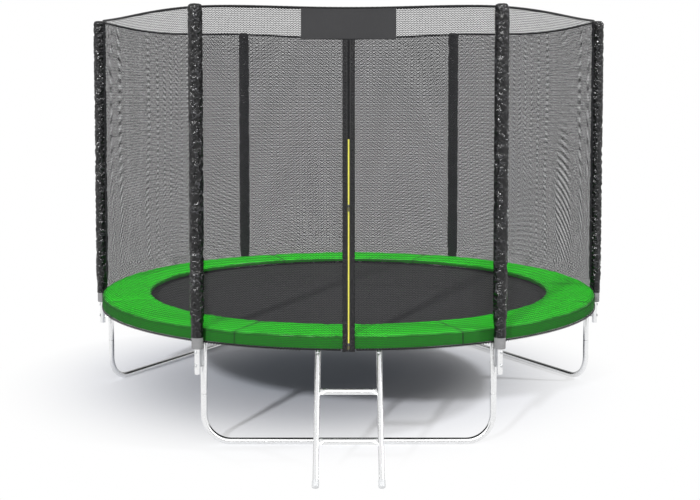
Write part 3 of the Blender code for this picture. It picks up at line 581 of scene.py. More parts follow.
class Graph:
    """Short calls that build a node tree."""

    def __init__(self, tree: bpy.types.NodeTree) -> None:
        """Work on a material's, a world's or a group's tree."""
        self.tree = tree

    def add(self, kind: str, **settings) -> bpy.types.Node:
        """Add a shader node and set its properties.

        Args:
            kind: of the node.
            **settings: its properties.

        Returns:
            The node.
        """
        node = self.tree.nodes.new("ShaderNode" + kind)
        for key, value in settings.items():
            setattr(node, key, value)
        return node

    def feed(self, socket: Socket, value: object) -> None:
        """Join a socket to another one, or set its value.

        Args:
            socket: to feed.
            value: another socket, a value, or None to leave it alone.
        """
        if isinstance(value, Socket):
            self.tree.links.new(value, socket)
        elif value is not None:
            socket.default_value = value

    def call(self, kind: str, values: Sequence[object], output: int = 0, **settings) -> Socket:
        """Add a node with its inputs fed in order.

        Args:
            kind: of the node.
            values: for its inputs, None to leave one alone.
            output: number of the output wanted.
            **settings: the node's properties.

        Returns:
            The output.
        """
        node = self.add(kind, **settings)
        for socket, value in zip(node.inputs, values):
            self.feed(socket, value)
        return node.outputs[output]

    def math(self, operation: str, *values: object) -> Socket:
        """Sum, product or other operation on numbers."""
        return self.call("Math", values, operation=operation)

    def product(self, *values: object) -> Socket:
        """Product of several numbers."""
        return reduce(partial(self.math, "MULTIPLY"), values)

    def total(self, *values: object) -> Socket:
        """Sum of several numbers."""
        return reduce(partial(self.math, "ADD"), values)

    def length(self, x: object, y: object) -> Socket:
        """Length of the way x, y."""
        return self.math("SQRT", self.total(self.math("POWER", x, 2.0), self.math("POWER", y, 2.0)))

    def mix(self, share: object, low: object, high: object) -> Socket:
        """Blend two colours."""
        return self.call("Mix", [share, None, None, None, None, None, low, high], 2, data_type="RGBA")

    def span(self, value: object, low: float, high: float, start: float = 0.0, end: float = 1.0,
             kind: str = "LINEAR") -> Socket:
        """Map a number from start..end to low..high, held within them.

        Args:
            value: the number.
            low: what start becomes.
            high: what end becomes.
            start: of the number's range.
            end: of the number's range.
            kind: of the ramp.

        Returns:
            The mapped number.
        """
        return self.call("MapRange", [value, start, end, low, high], interpolation_type=kind)

    def noise(self, place: object, scale: object, detail: float = 2.0) -> Socket:
        """Cloudy noise at a place."""
        return self.call("TexNoise", [place, None, scale, detail, 0.5])

    def place(self) -> Socket:
        """The point on the piece, in metres."""
        return self.add("TexCoord").outputs["Object"]

    def cut(self) -> Socket:
        """The point on the cloth as it was cut, in metres."""
        return self.add("UVMap", uv_map="cut").outputs["UV"]

    def scaled(self, place: object, scale: Triple, rotation: Triple = (0.0, 0.0, 0.0)) -> Socket:
        """Stretch and turn a place."""
        return self.call("Mapping", [place, None, rotation, scale])

    def split(self, place: object) -> bpy.types.NodeOutputs:
        """X, Y and Z of a place.

        Args:
            place: to take apart.

        Returns:
            The three numbers.
        """
        node = self.add("SeparateXYZ")
        self.feed(node.inputs[0], place)
        return node.outputs

    def bump(self, height: object, distance: float, strength: float = 1.0,
             normal: Socket | None = None) -> Socket:
        """Normal of a height map.

        Args:
            height: the map.
            distance: how high 1 stands, in metres.
            strength: of the relief.
            normal: that it stands on.

        Returns:
            The normal.
        """
        node = self.add("Bump")
        for name, value in (("Strength", strength), ("Distance", distance), ("Height", height),
                            ("Normal", normal)):
            self.feed(node.inputs[name], value)
        return node.outputs[0]

    def effect(self, shared: "Effect", **values: object) -> bpy.types.NodeOutputs:
        """Place a shared effect's group with its own values.

        Args:
            shared: the effect.
            **values: for its inputs, by their names in small letters.

        Returns:
            The group's outputs.
        """
        node = self.add("Group")
        node.node_tree = shared.tree()
        for name, value in values.items():
            self.feed(node.inputs[name.capitalize()], value)
        return node.outputs


class Effect:
    """A surface effect that several finishes use, built once as a node group.

    Attributes:
        inputs: name and default of each input, None for a place.
        outputs: names of the numbers that it puts out.
    """

    inputs: dict[str, float | None] = {}
    outputs: Sequence[str] = ("Height",)

    def tree(self) -> bpy.types.NodeTree:
        """The group, made at first use.

        Returns:
            The group.
        """
        name = type(self).__name__.lower()
        made = bpy.data.node_groups.get(name)
        if made is None:
            made = bpy.data.node_groups.new(name, "ShaderNodeTree")
            for title, default in self.inputs.items():
                kind = "NodeSocketVector" if default is None else "NodeSocketFloat"
                socket = made.interface.new_socket(title, in_out="INPUT", socket_type=kind)
                if default is not None:
                    socket.default_value = default
            for title in self.outputs:
                made.interface.new_socket(title, in_out="OUTPUT", socket_type="NodeSocketFloat")
            start, end = made.nodes.new("NodeGroupInput"), made.nodes.new("NodeGroupOutput")
            self.build(Graph(made), start.outputs, end.inputs)
        return made

    def build(self, graph: Graph, start: bpy.types.NodeOutputs, end: bpy.types.NodeInputs) -> None:
        """Fill the group.

        Args:
            graph: of the group.
            start: what is fed in.
            end: what is put out.
        """
        raise NotImplementedError


class Grain(Effect):
    """Fine and coarse cloudiness together."""

    inputs = {"Place": None, "Scale": 20.0}
    outputs = ("Value",)

    def build(self, graph: Graph, start: bpy.types.NodeOutputs, end: bpy.types.NodeInputs) -> None:
        """Blend a coarse noise with one eight times as fine."""
        coarse = graph.noise(start["Place"], start["Scale"], 3.0)
        fine = graph.noise(start["Place"], graph.product(start["Scale"], 8.0))
        graph.feed(end["Value"], graph.total(graph.product(coarse, 0.6), graph.product(fine, 0.4)))


class Weave(Effect):
    """Plain over and under weave on a flat place in metres."""

    inputs = {"Place": None, "Pitch": 0.002}

    def build(self, graph: Graph, start: bpy.types.NodeOutputs, end: bpy.types.NodeInputs) -> None:
        """Raise warp and weft by turns."""
        turns = [graph.math("DIVIDE", axis, start["Pitch"]) for axis in graph.split(start["Place"])[:2]]
        warp, weft = (graph.math("ABSOLUTE", graph.math("SINE", graph.product(turn, math.pi)))
                      for turn in turns)
        parity = graph.math("PINGPONG", graph.total(*[graph.math("FLOOR", turn) for turn in turns]), 1.0)
        under = graph.product(weft, graph.math("SUBTRACT", 1.0, parity))
        graph.feed(end["Height"], graph.total(graph.product(warp, parity), under))


class Creases(Effect):
    """Thin sharp folds in coated cloth."""

    inputs = {"Place": None, "Scale": 20.0}

    def build(self, graph: Graph, start: bpy.types.NodeOutputs, end: bpy.types.NodeInputs) -> None:
        """Fold a noise about its middle so that its level lines stand up."""
        layers = []
        for factor, weight in ((1.0, 0.6), (2.3, 0.3), (5.1, 0.1)):
            value = graph.noise(start["Place"], graph.product(start["Scale"], factor), 1.0)
            fold = graph.math("ABSOLUTE", graph.math("SUBTRACT", value, 0.5))
            layers.append(graph.product(graph.span(fold, 1.0, 0.0, 0.0, 0.11), weight))
        graph.feed(end["Height"], graph.total(*layers))


class Netting(Effect):
    """Warp-knitted net: zigzag cords joined by short uprights."""

    inputs = {"Place": None, "Across": 0.022, "Along": 0.012, "Cord": 0.4, "Upright": 0.2}
    outputs = ("Mask", "Height")

    def build(self, graph: Graph, start: bpy.types.NodeOutputs, end: bpy.types.NodeInputs) -> None:
        """Mask of the cords, 1 on a cord and 0 in a hole, and their round height."""
        x, y, _ = graph.split(start["Place"])
        turn = graph.math("DIVIDE", x, start["Across"])
        swing = graph.product(graph.math("PINGPONG", turn, 0.5), 1.5)
        row = graph.total(graph.math("DIVIDE", y, start["Along"]), swing)
        near = []
        for way, width in ((row, "Cord"), (graph.product(turn, 2.0), "Upright")):
            half = graph.product(start[width], 0.5)
            near.append(graph.math("DIVIDE", graph.math("PINGPONG", way, 0.5), half))
        inside = [graph.math("LESS_THAN", value, 1.0) for value in near]
        graph.feed(end["Mask"], graph.math("MAXIMUM", *inside))
        closest = graph.math("MINIMUM", graph.math("MINIMUM", *near), 1.0)
        graph.feed(end["Height"], graph.math("SUBTRACT", 1.0, graph.math("POWER", closest, 2.0)))


GRAIN, WEAVE, CREASES, NETTING = Grain(), Weave(), Creases(), Netting()


@dataclass(frozen=True)
class Finish:
    """A finish, made once as a material.

    Attributes:
        name: of the material.
        slot: the record's slot that it belongs to; not used.
        colour: the base colour, linear.
        roughness: of the bare surface.
        metallic: 1 for bare metal.
    """

    name: str
    slot: Slot
    colour: Colour
    roughness: float = 0.5
    metallic: float = 0.0

    def material(self) -> bpy.types.Material:
        """The material, made at first use.

        Returns:
            The material.
        """
        made = bpy.data.materials.get(self.name)
        if made is None:
            made = bpy.data.materials.new(self.name)
            made.use_nodes = True
            shader = made.node_tree.nodes["Principled BSDF"].inputs
            shader["Metallic"].default_value = self.metallic
            self.dress(Graph(made.node_tree), shader)
        return made

    def tint(self, factor: float) -> tuple[float, float, float, float]:
        """The base colour, darker or lighter."""
        return (*[min(1.0, part * factor) for part in self.colour], 1.0)

    def cloud(self, graph: Graph, scale: float) -> Socket:
        """Cloudiness over the piece, in clouds per metre."""
        return graph.effect(GRAIN, place=graph.place(), scale=scale)["Value"]

    def gloss(self, graph: Graph, cloud: Socket, less: float, more: float, *ends: float) -> Socket:
        """The roughness, which goes with the clouds from a little less to a little more."""
        return graph.span(cloud, self.roughness - less, self.roughness + more, *ends)

    def wire(self, graph: Graph, shader: bpy.types.NodeInputs, colour: Socket, roughness: Socket,
             normal: Socket) -> None:
        """Feed the shader what changes over the surface.

        Args:
            graph: of the material.
            shader: its inputs.
            colour: for Base Color.
            roughness: for Roughness.
            normal: for Normal.
        """
        graph.feed(shader["Base Color"], colour)
        graph.feed(shader["Roughness"], roughness)
        graph.feed(shader["Normal"], normal)

    def put_on(self, piece: Piece) -> None:
        """Give a new piece this finish.

        Args:
            piece: to dress.
        """
        piece.data.materials.clear()
        piece.data.materials.append(self.material())

    def dress(self, graph: Graph, shader: bpy.types.NodeInputs) -> None:
        """Build the nodes that feed the shader.

        Args:
            graph: of the material.
            shader: its inputs.
        """
        raise NotImplementedError


@dataclass(frozen=True)
class Tube(Finish):
    """Galvanised or plated steel: spangle, drawn grain, faint dents and dust near the ground.

    Attributes:
        spangle: size of the zinc's crystals, in metres.
        depth: of the dents, in metres.
        dust: linear colour of what settles on it.
    """

    spangle: float = 0.006
    depth: float = 0.00006
    dust: Colour = (0.42, 0.40, 0.37)

    def dress(self, graph: Graph, shader: bpy.types.NodeInputs) -> None:
        """Vary colour and gloss crystal by crystal, and dust the tube's foot."""
        place = graph.place()
        bright = graph.split(graph.call("TexVoronoi", [place, None, 1 / self.spangle], 1))[0]
        cloud = self.cloud(graph, 9.0)
        colour = graph.mix(bright, self.tint(0.955), self.tint(1.03))
        colour = graph.mix(graph.span(cloud, 0.0, 0.35, 0.5, 0.8), colour, self.tint(0.78))
        dust = graph.product(graph.span(graph.split(place)[2], 0.35, 0.0, 0.0, 0.10),
                             graph.span(cloud, 0.1, 0.4, 0.35, 0.6))
        gloss = graph.total(graph.span(bright, -0.02, 0.03), graph.span(cloud, -0.04, 0.06, 0.3, 0.7),
                            graph.product(dust, 0.35), self.roughness)
        grain = graph.noise(graph.scaled(place, (1.0, 1.0, 0.12)), 900.0, 1.0)
        dents = graph.bump(graph.noise(place, 35.0), self.depth)
        self.wire(graph, shader, graph.mix(dust, colour, (*self.dust, 1.0)), gloss,
                  graph.bump(grain, 0.000003, 0.5, dents))


@dataclass(frozen=True)
class Foam(Finish):
    """Closed-cell foam skin with fine pores."""

    def dress(self, graph: Graph, shader: bpy.types.NodeInputs) -> None:
        """Speckle the colour, paint shade into the pores and pit the surface."""
        cloud = self.cloud(graph, 14.0)
        pores = graph.call("TexVoronoi", [graph.place(), None, 700.0])
        colour = graph.mix(graph.span(cloud, 0.0, 1.0, 0.3, 0.7), self.tint(0.85), self.tint(1.1))
        # painted shade: the pores are painted darker, for the shade inside them
        dark = graph.span(pores, 0.35, 0.0, 0.0, 0.35)
        self.wire(graph, shader, graph.mix(dark, colour, self.tint(0.6)),
                  self.gloss(graph, cloud, 0.08, 0.05),
                  graph.bump(cloud, 0.002, 0.6, graph.bump(pores, 0.0006)))


@dataclass(frozen=True)
class Coated(Finish):
    """Vinyl-coated cloth: the weave prints through and the coat creases.

    Attributes:
        folds: creases per metre.
        fold_depth: of the creases, in metres.
        scuff_and_glint_reach: how far the creases' crests are painted pale, as scuffs and as painted glints.
        flat: True where the piece carries its cut in metres.
        stretch: of the creases along X, Y and Z.
        shine: of the coat.
        scuff_and_glint_tint: how pale the creases' crests are painted, for scuffs and for painted glints.
        pitch: of the cloth under the coat.
    """

    folds: float = 22.0
    fold_depth: float = 0.002
    scuff_and_glint_reach: float = 0.3
    flat: bool = False
    stretch: Triple = (1.0, 1.0, 1.0)
    shine: float = 0.5
    scuff_and_glint_tint: float = 2.2
    pitch: float = 0.0011

    def dress(self, graph: Graph, shader: bpy.types.NodeInputs) -> None:
        """Crease the coat, paint the creases' crests pale for scuffs and painted glints, and emboss it."""
        place = graph.place()
        cloud = self.cloud(graph, 5.0)
        fold = graph.effect(CREASES, place=graph.scaled(place, self.stretch), scale=self.folds)["Height"]
        colour = graph.mix(graph.span(cloud, 0.0, 1.0, 0.3, 0.7), self.tint(0.92), self.tint(1.05))
        # painted glints and scuffs: the creases' crests are painted pale; on the black sleeve vinyl this
        # stands in for the lamps' glints
        scuff_and_glint = graph.product(graph.span(fold, 0.0, self.scuff_and_glint_reach, 0.55, 1.0),
                               graph.span(cloud, 0.2, 1.0, 0.4, 0.6))
        base = graph.cut() if self.flat else graph.scaled(place, (1.0, 1.0, 1.0), (0.0, 0.0, 0.4))
        cloth = graph.effect(WEAVE, place=base, pitch=self.pitch)["Height"]
        shader["Specular IOR Level"].default_value = self.shine
        self.wire(graph, shader, graph.mix(scuff_and_glint, colour, self.tint(self.scuff_and_glint_tint)),
                  self.gloss(graph, cloud, 0.07, 0.1, 0.3, 0.7),
                  graph.bump(cloth, 0.00004, 0.6, graph.bump(fold, self.fold_depth)))


@dataclass(frozen=True)
class PadCloth(Coated):
    """Coated cloth of the pad: painted shade darkens its side, with a stitched line on each radial seam.

    Attributes:
        top: height of the pad's top.
        step: length of one panel along the pad's edge.
        shade: how dark the side's painted shade is.
    """

    top: float = 0.6365
    step: float = 1.2285
    shade: float = 0.27

    def dress(self, graph: Graph, shader: bpy.types.NodeInputs) -> None:
        """Add the side's painted shade, the seams and the rim's polish to the coated cloth."""
        super().dress(graph, shader)
        coat = shader["Base Color"].links[0].from_socket
        height = graph.split(graph.place())[2]
        cloud = self.cloud(graph, 9.0)
        patch = graph.product(graph.math("SUBTRACT", cloud, 0.5), 0.028)
        # painted shade: the side below the top's edge is painted darker, for the shade it takes from the
        # lamps
        side = graph.span(graph.total(height, patch), self.shade, 1.0, self.top - 0.013, self.top - 0.003,
                          SMOOTH)
        along = graph.total(graph.split(graph.cut())[0], self.step / 2)
        line = graph.span(graph.math("PINGPONG", along, self.step / 2), 0.25, 1.0, 0.0030, 0.0052)
        graph.feed(shader["Base Color"], graph.mix(graph.product(side, line), self.tint(0.0), coat))
        from_rim = graph.math("ABSOLUTE", graph.math("SUBTRACT", height, self.top - 0.008))
        rim = graph.span(from_rim, 1.0, 0.0, 0.004, 0.009)
        wear_and_sheen = graph.span(cloud, 0.3, 1.0, 0.40, 0.55)
        graph.feed(shader["Coat Weight"], graph.product(rim, wear_and_sheen))
        shader["Coat Roughness"].default_value = 0.22


@dataclass(frozen=True)
class Woven(Finish):
    """Plain woven cloth or webbing, read from the cloth's cut.

    Attributes:
        pitch: of the weave.
        depth: of the threads' relief.
        wear_and_sheen: how much lighter the cloth is round the trampoline's middle, worn there and with a
            painted sheen.
    """

    pitch: float = 0.002
    depth: float = 0.0003
    wear_and_sheen: float = 1.0

    def dress(self, graph: Graph, shader: bpy.types.NodeInputs) -> None:
        """Paint shade between the threads, paint their crowns lighter and raise them."""
        cloud = self.cloud(graph, 4.0)
        height = graph.effect(WEAVE, place=graph.cut(), pitch=self.pitch)["Height"]
        # painted shade and highlight: the weave's height paints the gaps between threads darker and their
        # crowns lighter
        colour = graph.mix(graph.span(cloud, 0.0, 0.6, 0.3, 0.7),
                           graph.mix(height, self.tint(0.55), self.tint(1.2)), self.tint(0.85))
        # wear and painted sheen: the cloth is painted lighter round the middle, for wear and for the lamps'
        # sheen there
        if self.wear_and_sheen != 1.0:
            from_middle = graph.length(*graph.split(graph.place())[:2])
            wear_and_sheen_mask = graph.span(from_middle, 0.0, 1.0, 1.15, 0.3, SMOOTH)
            colour = graph.mix(wear_and_sheen_mask, colour, self.tint(self.wear_and_sheen))
        shader["Sheen Weight"].default_value = 0.1
        shader["Specular IOR Level"].default_value = 0.08
        self.wire(graph, shader, colour, self.gloss(graph, cloud, 0.06, 0.06, 0.3, 0.7),
                  graph.bump(height, self.depth))


@dataclass(frozen=True)
class Net(Finish):
    """Knitted net with open holes.

    Attributes:
        across: width of one zigzag.
        along: from one zigzag cord to the next.
        cord: the cords' share of that.
        upright: the uprights' share of half a zigzag.
        sheer: share of the cords' shadow that light gets past.
    """

    across: float = 0.0165
    along: float = 0.0092
    cord: float = 0.485
    upright: float = 0.14
    sheer: float = 0.85

    def dress(self, graph: Graph, shader: bpy.types.NodeInputs) -> None:
        """Cut the holes and round the cords."""
        knit = graph.effect(NETTING, place=graph.cut(), across=self.across, along=self.along,
                            cord=self.cord, upright=self.upright)
        cloud = self.cloud(graph, 3.0)
        rays = graph.add("LightPath").outputs
        bounced = graph.math("MAXIMUM", rays["Is Shadow Ray"], rays["Is Diffuse Ray"])
        thin = graph.span(bounced, 1.0, 1.0 - self.sheer)
        graph.feed(shader["Alpha"], graph.product(knit["Mask"], thin))
        shader["Specular IOR Level"].default_value = 0.0
        self.wire(graph, shader, graph.mix(cloud, self.tint(0.8), self.tint(1.2)),
                  self.gloss(graph, cloud, 0.05, 0.05), graph.bump(knit["Height"], 0.0008))


@dataclass(frozen=True)
class Moulded(Finish):
    """Moulded plastic or thread with a faint grain.

    Attributes:
        grain: per metre.
        depth: of the grain, in metres.
    """

    grain: float = 400.0
    depth: float = 0.00006

    def dress(self, graph: Graph, shader: bpy.types.NodeInputs) -> None:
        """Grain the surface and dull it in patches."""
        cloud = self.cloud(graph, 25.0)
        self.wire(graph, shader, graph.mix(cloud, self.tint(0.86), self.tint(1.1)),
                  self.gloss(graph, cloud, 0.1, 0.1, 0.3, 0.7),
                  graph.bump(graph.noise(graph.place(), self.grain), self.depth))


STEEL = Tube("galvanised tube", Slot.STEEL, (0.86, 0.865, 0.87), 0.17, 1.0)
LADDER_STEEL = Tube("galvanised ladder tube", Slot.STEEL, (0.82, 0.825, 0.83), 0.22, 1.0, 0.005)
ZINC = Tube("plated bolts", Slot.HARDWARE, (0.58, 0.59, 0.60), 0.30, 1.0, 0.003, 0.0001)
SPRING = Tube("spring wire", Slot.SPRING, (0.60, 0.61, 0.62), 0.28, 1.0, 0.002, 0.00005)
SLIDER_METAL = Tube("dark slider metal", Slot.SLIDER, (0.10, 0.10, 0.105), 0.32, 1.0, 0.002, 0.00005)
SLEEVE_FOAM = Foam("grey foam", Slot.FOAM, (0.23, 0.23, 0.235), 0.86)
# the sleeve vinyl's pale crease crests are mostly painted glints
SLEEVE_VINYL = Coated("black sleeve vinyl", Slot.VINYL, (0.004, 0.004, 0.0045), 0.16, folds=19.0,
                      fold_depth=0.0026, scuff_and_glint_reach=1.2, stretch=(1.0, 1.0, 1.2), shine=0.36, scuff_and_glint_tint=14.0)
PAD_VINYL = PadCloth("green pad vinyl", Slot.PAD, (0.038, 0.955, 0.026), 0.40, folds=5.0,
                     fold_depth=0.0022, scuff_and_glint_reach=0.05, flat=True, shine=0.02)
PAD_BACK = Coated("dark pad backing", Slot.PAD, (0.045, 0.05, 0.045), 0.6, folds=5.0, scuff_and_glint_reach=0.05,
                  flat=True, shine=0.25)
DOOR_VINYL = Coated("black door strip", Slot.WEBBING, (0.008, 0.008, 0.009), 0.34, folds=60.0, scuff_and_glint_reach=0.4,
                    flat=True, shine=0.2)
JUMP_WEAVE = Woven("black jumping weave", Slot.WEAVE, (0.009, 0.009, 0.010), 0.66, pitch=0.0021, wear_and_sheen=1.8)
WEBBING = Woven("black webbing", Slot.WEBBING, (0.011, 0.011, 0.012), 0.8, pitch=0.0016)
BANNER_CLOTH = Woven("dark banner cloth", Slot.BANNER, (0.046, 0.046, 0.048), 0.62, pitch=0.0012,
                     depth=0.0001)
NET_CORD = Net("black netting", Slot.NET, (0.029, 0.029, 0.031), 0.75)
ZIP_PLASTIC = Moulded("yellow zip teeth", Slot.WEBBING, (0.74, 0.71, 0.12), 0.45)
ZIP_TAPE = Moulded("yellow zip tape", Slot.WEBBING, (0.70, 0.64, 0.09), 0.6, grain=900.0)
CAP_PLASTIC = Moulded("pale foot plastic", Slot.PLASTIC, (0.60, 0.61, 0.62), 0.42)
THREAD = Moulded("grey stitching", Slot.WEBBING, (0.16, 0.16, 0.165), 0.7, grain=900.0)
THREAD_DARK = Moulded("dark thread", Slot.WEBBING, (0.03, 0.03, 0.031), 0.7, grain=900.0)
CORD = Moulded("black cord", Slot.WEBBING, (0.016, 0.016, 0.017), 0.55, grain=700.0)
WEBBING_PLAIN = Moulded("black tie", Slot.WEBBING, (0.02, 0.02, 0.021), 0.6, grain=700.0)


# ---- Standing pieces on the frame ----

def stand(piece: Piece, finish: Finish, body: str, *nodes: str) -> Piece:
    """Finish a piece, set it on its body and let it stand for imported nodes.

    Args:
        piece: to finish.
        finish: of its surface.
        body: that it rides on.
        *nodes: that it replaces.

    Returns:
        The piece.
    """
    finish.put_on(piece)
    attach(piece, body)
    if nodes:
        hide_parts(*nodes)
    log.info("%s: %d faces on %s", piece.name, len(piece.data.polygons), body)
    return piece


def repeat(pattern: Piece, layout: Layout, finish: Finish, body: str, name: str,
           angles: Sequence[float], node: str | None = None) -> list[Piece]:
    """Copy a pattern piece that stands at the front to several angles, then take it away.

    Args:
        pattern: the piece at the front.
        layout: places.
        finish: of the copies.
        body: that they ride on.
        name: start of their names.
        angles: where they stand.
        node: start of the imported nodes' names that they replace.

    Returns:
        The copies.
    """
    copies = []
    for number, angle in enumerate(angles, 1):
        twin = Bench.copy(pattern, f"{name}_{number}", layout.turn(angle))
        copies.append(stand(twin, finish, body, *([f"{node}_{number}"] if node else [])))
    Bench.remove(pattern)
    return copies


# ---- Rings, legs and poles ----

@dataclass
class RingFrame:
    """Galvanised tubes: six rails, six uprights, three bases and the poles' lower tubes.

    Attributes:
        layout: places.
        radius: of the rails and legs.
        wall: of every tube.
        pole_radius: of the poles.
        bend_radius: of a base's two bends, to the centre line.
        lip: chamfer where two tubes meet.
        gap: between the ends of two rails.
        stub: radius of the leg's socket.
        bead: thickness of the weld round a socket.
        bore: how far a tube's open end is seen into.
        sides: of the tubes.
        seam: height where a base enters the uprights.
    """

    layout: Layout
    radius: float = 0.0175
    wall: float = 0.0015
    pole_radius: float = 0.016
    bend_radius: float = 0.146
    lip: float = 0.0008
    gap: float = 0.0008
    stub: float = 0.0157
    bead: float = 0.0022
    bore: float = 0.05
    sides: int = 28
    seam: float = field(init=False)

    def __post_init__(self) -> None:
        """Read the seam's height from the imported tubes."""
        self.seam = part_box("leg_upright_1")[0].z

    def rail(self) -> Piece:
        """One rail, from joint to joint, with its socket and weld, centred on the front.

        Returns:
            The rail.
        """
        half, place = SECTOR / 2, self.layout
        at = place.around(-half, place.ring_radius, place.ring_height) + sideways(-half) * self.gap / 2
        arc = SECTOR - math.degrees((2 * self.lip + self.gap) / place.ring_radius)
        run = Run("rail", at, sideways(-half), self.radius - self.lip, self.sides)
        run.straight(self.lip, self.radius).bend(-outward(-half), place.ring_radius, arc, 40)
        tube = run.straight(self.lip, self.radius - self.lip).close()
        foot = place.around(0, place.ring_radius, place.ring_height - self.radius - 0.012)
        stub = Run("stub", foot, UP, self.stub).straight(0.024).close()
        return Bench.join("rail", tube, stub, self.weld())

    def weld(self) -> Piece:
        """Rippled bead that follows the round of the rail about the socket.

        Returns:
            The bead.
        """
        place = self.layout
        centre = place.around(0, place.ring_radius, place.ring_height - self.radius)
        bead = Bench.primitive("weld", "torus", major_radius=self.stub + 0.0001, minor_radius=self.bead,
                               major_segments=40, minor_segments=8, location=centre)
        for point in bead.data.vertices:
            across = min(abs((point.co - centre).y), self.radius * 0.95)
            ripple = 0.0005 * math.sin(math.atan2(point.co.y - centre.y, point.co.x) * 22)
            point.co.z += self.radius - math.sqrt(self.radius ** 2 - across ** 2) + ripple
        bpy.ops.object.shade_smooth()
        return bead

    def upright(self) -> Piece:
        """One upright at the front, open at its top.

        Returns:
            The upright.
        """
        foot = self.layout.around(0, self.layout.ring_radius, self.seam)
        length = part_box("leg_upright_1")[1].z - self.seam - self.lip - self.wall / 2
        run = Run("upright", foot, UP, self.radius - self.lip, self.sides)
        run.straight(self.lip, self.radius).straight(length)
        return run.profile(open_end(self.radius, self.wall, 0.03)).close()

    def base(self) -> Piece:
        """One U-shaped base at the front.

        Returns:
            The base.
        """
        start = self.layout.around(-SECTOR / 2, self.layout.ring_radius, self.seam - 0.0003)
        drop = start.z - self.lip - self.radius - self.bend_radius
        run = Run("base", start, -UP, self.radius - self.lip, self.sides)
        run.straight(self.lip, self.radius).straight(drop).bend(RIGHT, self.bend_radius, 90, 12)
        run.straight(-2 * (start.x + self.bend_radius)).bend(UP, self.bend_radius, 90, 12)
        return run.straight(drop).straight(self.lip, self.radius - self.lip).close()

    def pole(self) -> Piece:
        """The lower pole tube at the front, open at its foot.

        Returns:
            The tube.
        """
        low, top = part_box("pole_lower_1")[0].z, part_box("pole_upper_1")[0].z
        foot = self.layout.around(0, self.layout.pole_circle, low + self.bore + self.wall / 2)
        run = Run("pole", foot, UP, self.pole_radius - self.wall, self.sides)
        run.profile(open_start(self.pole_radius, self.wall, self.bore))
        return run.straight(top - low - self.wall / 2 - 0.001).close()

    def build(self) -> None:
        """Make the tubes and stand them round the ring."""
        for pattern, name, angles, node in (
                (self.rail(), "rail", POLE_ANGLES, "top_rail"),
                (self.upright(), "upright", POLE_ANGLES, "leg_upright"),
                (self.base(), "base", BASE_ANGLES, "leg_base"),
                (self.pole(), "pole", POLE_ANGLES, "pole_lower")):
            repeat(pattern, self.layout, STEEL, FRAME, name, angles, node)
        for number in range(1, len(POLE_ANGLES) + 1):
            for place in frame["nodes"][f"pole_upper_{number}"].material_slots:
                place.material = STEEL.material()


@dataclass
class Fixings:
    """Bolts, washers, nuts and the saddle that hold each pole off its leg.

    Attributes:
        layout: places.
        shank: radius of the bolts.
        head: radius of their domed heads.
        washer: radius of the washers.
        nut: radius of the nuts, over their corners.
        saddle: width of the saddle.
        margin: from the saddle's ends to the bolts.
        low: height of the saddle's foot.
        high: height of its top.
    """

    layout: Layout
    shank: float = 0.004
    head: float = 0.0078
    washer: float = 0.0098
    nut: float = 0.0077
    saddle: float = 0.024
    margin: float = 0.011
    low: float = field(init=False)
    high: float = field(init=False)

    def __post_init__(self) -> None:
        """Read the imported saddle's heights."""
        self.low, self.high = (corner.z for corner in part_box("pole_fixing_1"))

    def bolt(self, height: float) -> Piece:
        """One bolt with its washers and its nut.

        Args:
            height: of its axis.

        Returns:
            The piece.
        """
        place = self.layout
        seat, inner = place.pole_circle + 0.016, place.ring_radius - 0.0175
        run = Run("bolt", place.around(0, seat + 0.0044, height), -FRONT, 0.0020, 20)
        run.profile([(0.0005, 0.0046), (0.0009, self.head * 0.86), (0.0014, self.head),
                     (0.0006, self.head * 0.98), (0.0, self.washer), (0.0010, self.washer),
                     (0.0, self.shank), (seat - inner - 0.0004, self.shank),
                     (0.0, self.washer), (0.0012, self.washer), (0.0, self.shank),
                     (0.0085, self.shank), (0.0008, self.shank * 0.8)])
        shaft = run.close()
        nut = Bench.primitive("nut", "cylinder", vertices=6, radius=self.nut, depth=0.0058,
                              location=place.around(0, inner - 0.0045, height),
                              rotation=(math.radians(90), 0, 0))
        return Bench.join("bolt", shaft, Bench.bevel(nut, 0.0006))

    def spacer(self) -> Piece:
        """Saddle block between the two tubes, with a recess down each side.

        Returns:
            The block.
        """
        place = self.layout
        near, far = place.ring_radius + 0.0150, place.pole_circle - 0.0135
        block = Bench.primitive("spacer", "cube", size=1,
                                location=place.around(0, (near + far) / 2, (self.low + self.high) / 2),
                                scale=(self.saddle, far - near, self.high - self.low))
        with Bench.editing(block, "FACE", lambda face: abs(face.normal.x) > 0.9):
            bpy.ops.mesh.inset(thickness=0.0035, depth=-0.002, use_individual=True)
        return Bench.bevel(block, 0.0012, 3)

    def build(self) -> None:
        """Make one set and stand it at every pole."""
        bolts = [self.bolt(height) for height in (self.low + self.margin, self.high - self.margin)]
        pattern = Bench.join("fixing", self.spacer(), *bolts)
        repeat(pattern, self.layout, ZINC, FRAME, "fixing", POLE_ANGLES, "pole_fixing")


